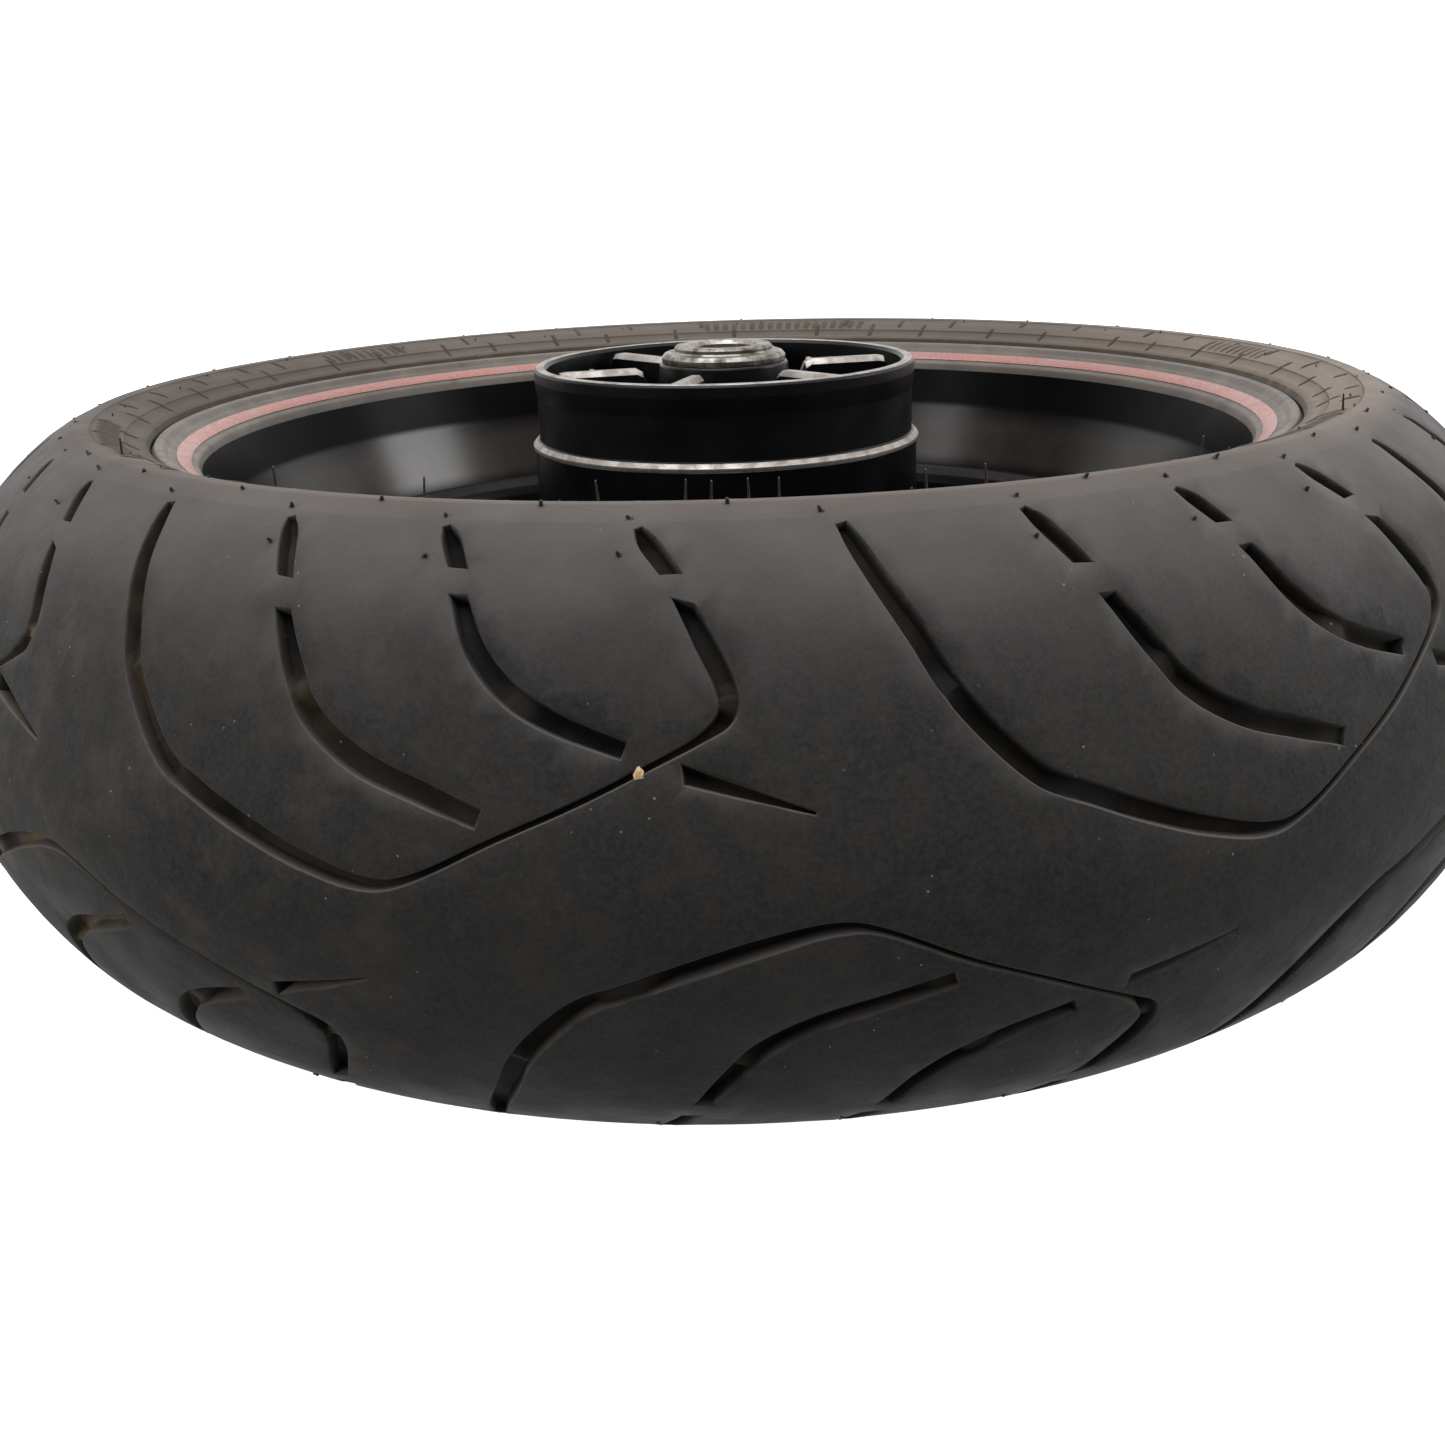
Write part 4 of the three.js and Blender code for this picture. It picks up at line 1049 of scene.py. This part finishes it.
def collars():
    """The stepped sleeve seen in the drum, and the flanged one on the brake side."""
    upper = [
        (AXLE, 106.7, 0.2), (15.6, 106.7, 0.2), (15.6, 107.4, 0.2), (25.6, 107.4, 0.3), (25.6, 109.4, 0.8),
        (24.2, 111, 0.7), (20.8, 111.2, 0.4), (20.2, 111.8, 0.3), (20.2, COLLAR_TOP - 0.9, 0.5),
        (19.2, COLLAR_TOP, 0.5), (14, COLLAR_TOP, 0.4), (AXLE, COLLAR_TOP - 1.4, 0.3),
    ]
    lower = [
        (AXLE, -72, 0.2), (15.5, -72, 0.2), (15.5, -83, 0.8), (20.5, -84.4, 0.4),
        (20.5, COLLAR_END + 0.6, 0.4), (19.9, COLLAR_END, 0.4), (13.6, COLLAR_END, 0.4),
        (AXLE, COLLAR_END + 1, 0.3),
    ]
    turned_piece("sleeve_upper", upper, COLLAR_METAL, "axle_stack", "collar_upper")
    turned_piece("sleeve_lower", lower, COLLAR_METAL, "axle_stack", "collar_lower")


def seal():
    """The brake side's dust seal, with its lip against the sleeve."""
    outline = [
        (24.8, -74.9, 0.2), (24.8, -79.4, 0.4), (21.8, -79.4, 0.4), (21.4, -78.2, 0.2), (18, -78.2, 0.3),
        (16.9, -76.9, 0.2), (15.8, -76.9, 0.1), (15.8, -76.1, 0.1), (17, -75.6, 0.2), (21.6, -74.9, 0.3),
    ]
    turned_piece("wheel_seal", outline, SEAL_RUBBER, "wheel", "dust_seal")


# ---- Valve and balance weights ----

VALVE_AXIS = Matrix.Translation(place(188, math.radians(270), 0)) @ Matrix.Rotation(math.radians(-90), 4, "X")


def shaped_wall(outline, facets, beyond, share):
    """A turned outline on the valve's axis. Beyond a radius, share(angle, radius) scales its wall."""
    mesh = lathe(outline, facets, None, VALVE_AXIS)
    back = VALVE_AXIS.inverted()
    for vertex in mesh.verts:
        local = back @ vertex.co
        radius = math.hypot(local.x, local.y) / MM
        if radius > beyond:
            scale = share(math.atan2(local.y, local.x), radius)
            vertex.co = VALVE_AXIS @ Vector((local.x * scale, local.y * scale, local.z))
    return mesh


def knurled(outline, teeth, depth):
    """A turned outline whose wall is cut with flutes along its axis."""

    def fluted(angle, radius):
        return 1 - depth * (0.5 - 0.5 * math.cos(teeth * angle)) / radius

    return shaped_wall(outline, 4 * teeth, 4.3, fluted)


def hexagonal(outline):
    """A turned outline whose wall is flattened to six sides, with its bore left round."""
    side = FULL_TURN / 6
    flat = math.cos(side / 2)
    return shaped_wall(outline, 48, 5, lambda angle, radius: flat / math.cos(angle % side - side / 2))


def valve():
    """A straight clamp-in valve, standing inward from the well; heights run along its own axis."""
    thread = [(3.8 if turn % 2 else 3.5, 22 + 0.5 * turn) for turn in range(13)]
    stem = rounded([
        (4.1, -10, 0.2), (4.1, 20, 0.3), (3.8, 21, 0.2), *thread, (3.3, 29.6, 0.2), (2.6, 29.8, 0.2),
        (2.6, -12), (8.4, -12, 0.6), (8.4, -9.9, 0.5),
    ])
    body = lathe(stem, 48, None, VALVE_AXIS)
    piece("valve_body", body, [VALVE_ALLOY], "wheel", ["valve_stem"])
    nut = rounded([(4.3, 0.3), (7.4, 0.3, 0.3), (7.4, 5.3, 0.3), (4.3, 5.3)], 2)
    piece("valve_lock_nut", hexagonal(nut), [VALVE_ALLOY], "wheel", ["valve_nut"], 25)
    cap = rounded([
        (0.02, 35), (4, 35, 0.6), (5, 34, 0.5), (5, 23, 0.3), (4.2, 23, 0.1), (4.2, 32, 0.2), (0.02, 32),
    ], 3)
    grip = knurled(cap, 18, 0.45)
    piece("valve_dust_cap", grip, [CAP_PLASTIC], "valve_cap", ["valve_cap"], 40)


WEIGHTS = 4
WEIGHT_START = math.radians(-44)
WEIGHT_STEP = math.radians(5.6)
WEIGHT_LENGTH = math.radians(5.2)
# How far each section along a weight is drawn in from its full size.
WEIGHT_INSETS = [0.7, 0.1, 0, 0, 0, 0.1, 0.7]


def weight_strip():
    """Stick-on weights side by side on the well's inner face, with softened corners."""
    low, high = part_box("balance_weights")
    bottom = low.z / MM - MIDDLE
    top = high.z / MM - MIDDLE
    mesh = bmesh.new()
    for block in range(WEIGHTS):
        sections = []
        for step, inset in enumerate(WEIGHT_INSETS):
            angle = WEIGHT_START + block * WEIGHT_STEP + WEIGHT_LENGTH * step / (len(WEIGHT_INSETS) - 1)
            face = 183.6 + inset
            corners = rounded([
                (face, bottom + inset, 0.8), (187.5, bottom + inset, 0.3), (187.5, top - inset, 0.3),
                (face, top - inset, 0.8),
            ], 3)
            sections.append([place(corner.x, angle, corner.y) for corner in corners])
        loft(sections, mesh)
    return piece("weight_strip", mesh, [WEIGHT_METAL], "wheel", ["balance_weights"], 40)


# ---- The frame's own inner pieces keep their shapes ----

INNER_FINISHES = {
    "tyre_belt": CORD, "bead_wire_upper": SPRING_STEEL, "bead_wire_lower": SPRING_STEEL,
    "distance_tube": COLLAR_METAL, "bearing_upper_balls": STEEL, "bearing_lower_balls": STEEL,
    "circlip": SPRING_STEEL, "valve_grommet": SEAL_RUBBER, "valve_core": BRASS, "valve_core_pin": BRASS,
}


def finish_inner_nodes():
    """Gives the frame's inner pieces their finishes."""
    for name, finish in INNER_FINISHES.items():
        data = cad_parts[name].data
        data.materials.clear()
        data.materials.append(finish)


# ---- Floor, light and camera ----


def staged(name, mesh, finish, unseen_by):
    """An object of the set, which these kinds of ray pass through."""
    data = bpy.data.meshes.new(name)
    mesh.to_mesh(data)
    mesh.free()
    data.materials.append(finish.material)
    made = bpy.data.objects.new(name, data)
    for ray in unseen_by:
        setattr(made, f"visible_{ray}", False)
    bpy.context.scene.collection.objects.link(made)


def floor():
    """A pale floor that glows a little, as over a light table, so that it stays pale close to the tyre."""
    mesh = bmesh.new()
    bmesh.ops.create_circle(mesh, cap_ends=True, segments=96, radius=9)
    finish = Finish("floor", Specular_IOR_Level=0.1, Emission_Color=(1, 1, 1, 1), Emission_Strength=1.0)
    finish.colour(finish.mix(finish.cloud(900, 3), (0.60, 0.60, 0.60), (0.64, 0.64, 0.64)))
    finish.rough(finish.cloud(300, 3, start=0.7, end=0.8))
    staged("floor", mesh, finish, ("diffuse", "glossy"))


def backdrop():
    """A white dome all round, which only the camera sees, so that it lights nothing."""
    mesh = bmesh.new()
    bmesh.ops.create_icosphere(mesh, subdivisions=3, radius=30)
    finish = Finish("backdrop", Emission_Color=(1, 1, 1, 1), Emission_Strength=1.1)
    finish.colour(finish.mix(finish.noise(5000), (0.8, 0.8, 0.8), (0.9, 0.9, 0.9)))
    staged("backdrop", mesh, finish, ("diffuse", "glossy", "transmission", "volume_scatter", "shadow"))


def softbox(name, where, aim, size, power):
    """A rectangular lamp at a place in metres, turned to face its aim."""
    light = bpy.data.lights.new(name, "AREA")
    light.shape = "RECTANGLE"
    light.size, light.size_y = size
    light.energy = power
    made = bpy.data.objects.new(name, light)
    made.location = where
    made.rotation_euler = (Vector(aim) - Vector(where)).to_track_quat("-Z", "Y").to_euler()
    bpy.context.scene.collection.objects.link(made)
    return made


def studio_world():
    """Bright above and behind the wheel, dark low down in front, as in a studio with a white sweep behind."""
    world = bpy.data.worlds.new("studio")
    world.use_nodes = True
    nodes = world.node_tree.nodes
    links = world.node_tree.links
    split = nodes.new("ShaderNodeSeparateXYZ")
    links.new(nodes.new("ShaderNodeTexCoord").outputs["Generated"], split.inputs[0])
    parts = []
    for axis, low, high, level in (("Z", 0.50, 0.82, 1.35), ("Y", 0.15, 0.55, 1.0), ("Z", 0.10, -0.45, 0.34)):
        ramp = nodes.new("ShaderNodeMapRange")
        ramp.interpolation_type = "SMOOTHSTEP"
        links.new(split.outputs[axis], ramp.inputs["Value"])
        for socket, value in (("From Min", low), ("From Max", high), ("To Min", 0.05), ("To Max", level)):
            ramp.inputs[socket].default_value = value
        parts.append(ramp.outputs["Result"])
    brightest = parts[0]
    for part in parts[1:]:
        brighter = nodes.new("ShaderNodeMath")
        brighter.operation = "MAXIMUM"
        links.new(brightest, brighter.inputs[0])
        links.new(part, brighter.inputs[1])
        brightest = brighter.outputs[0]
    links.new(brightest, nodes["Background"].inputs["Strength"])
    nodes["Background"].inputs["Color"].default_value = (1, 1, 1, 1)
    bpy.context.scene.world = world


def lights():
    """The world, a soft overhead sun and four side lamps."""
    studio_world()
    sky = bpy.data.lights.new("overhead", "SUN")
    sky.energy = 1.25
    sky.angle = math.radians(50)
    made = bpy.data.objects.new("overhead", sky)
    made.rotation_euler = (math.radians(6), math.radians(-10), 0)
    bpy.context.scene.collection.objects.link(made)
    softbox("right_side", (2.3, 0.12, 1.15), (0, 0, 0.1), (0.9, 0.9), 16)
    softbox("left_side", (-2.07, -1.0, 1.1), (0, 0, 0.1), (0.6, 0.9), 5)
    for side, power in ((1, 22), (-1, 19)):
        fill = softbox("low_fill", (side * 1.7, -0.9, 0.35), (side * 0.2, 0, 0.1), (0.8, 0.6), power)
        fill.visible_glossy = False


CAMERA_PLACE = (-5.24, -757.3, 197.5)
CAMERA_TILT = 0.3165
CAMERA_ROLL = -0.0318
CAMERA_LENS = 44.98


def camera():
    """Low in front of the tyre, looking down a little at the hub over the near shoulder."""
    level_right = Vector((1, 0, 0))
    level_up = Vector((0, math.sin(CAMERA_TILT), math.cos(CAMERA_TILT)))
    right = math.cos(CAMERA_ROLL) * level_right + math.sin(CAMERA_ROLL) * level_up
    up = math.cos(CAMERA_ROLL) * level_up - math.sin(CAMERA_ROLL) * level_right
    back = right.cross(up)
    where = (Vector(CAMERA_PLACE) + Vector((0, 0, MIDDLE))) * MM
    data = bpy.data.cameras.new("camera")
    data.sensor_width = 36
    data.lens = CAMERA_LENS
    data.clip_start = 0.02
    made = bpy.data.objects.new("camera", data)
    made.matrix_world = Matrix.Translation(where) @ Matrix((right, up, back)).transposed().to_4x4()
    bpy.context.scene.collection.objects.link(made)
    bpy.context.scene.camera = made


tread()
casing()
mould_lines()
vent_hairs()
stone()
rim()
stripes()
drum()
vanes()
cushion_stops()
spokes()
for bearing_name, (low, high) in BEARING_SIZES.items():
    bearing(bearing_name, low, high)
collars()
seal()
valve()
weight_strip()
finish_inner_nodes()
floor()
backdrop()
lights()
camera()
bpy.context.scene.view_settings.view_transform = "Standard"
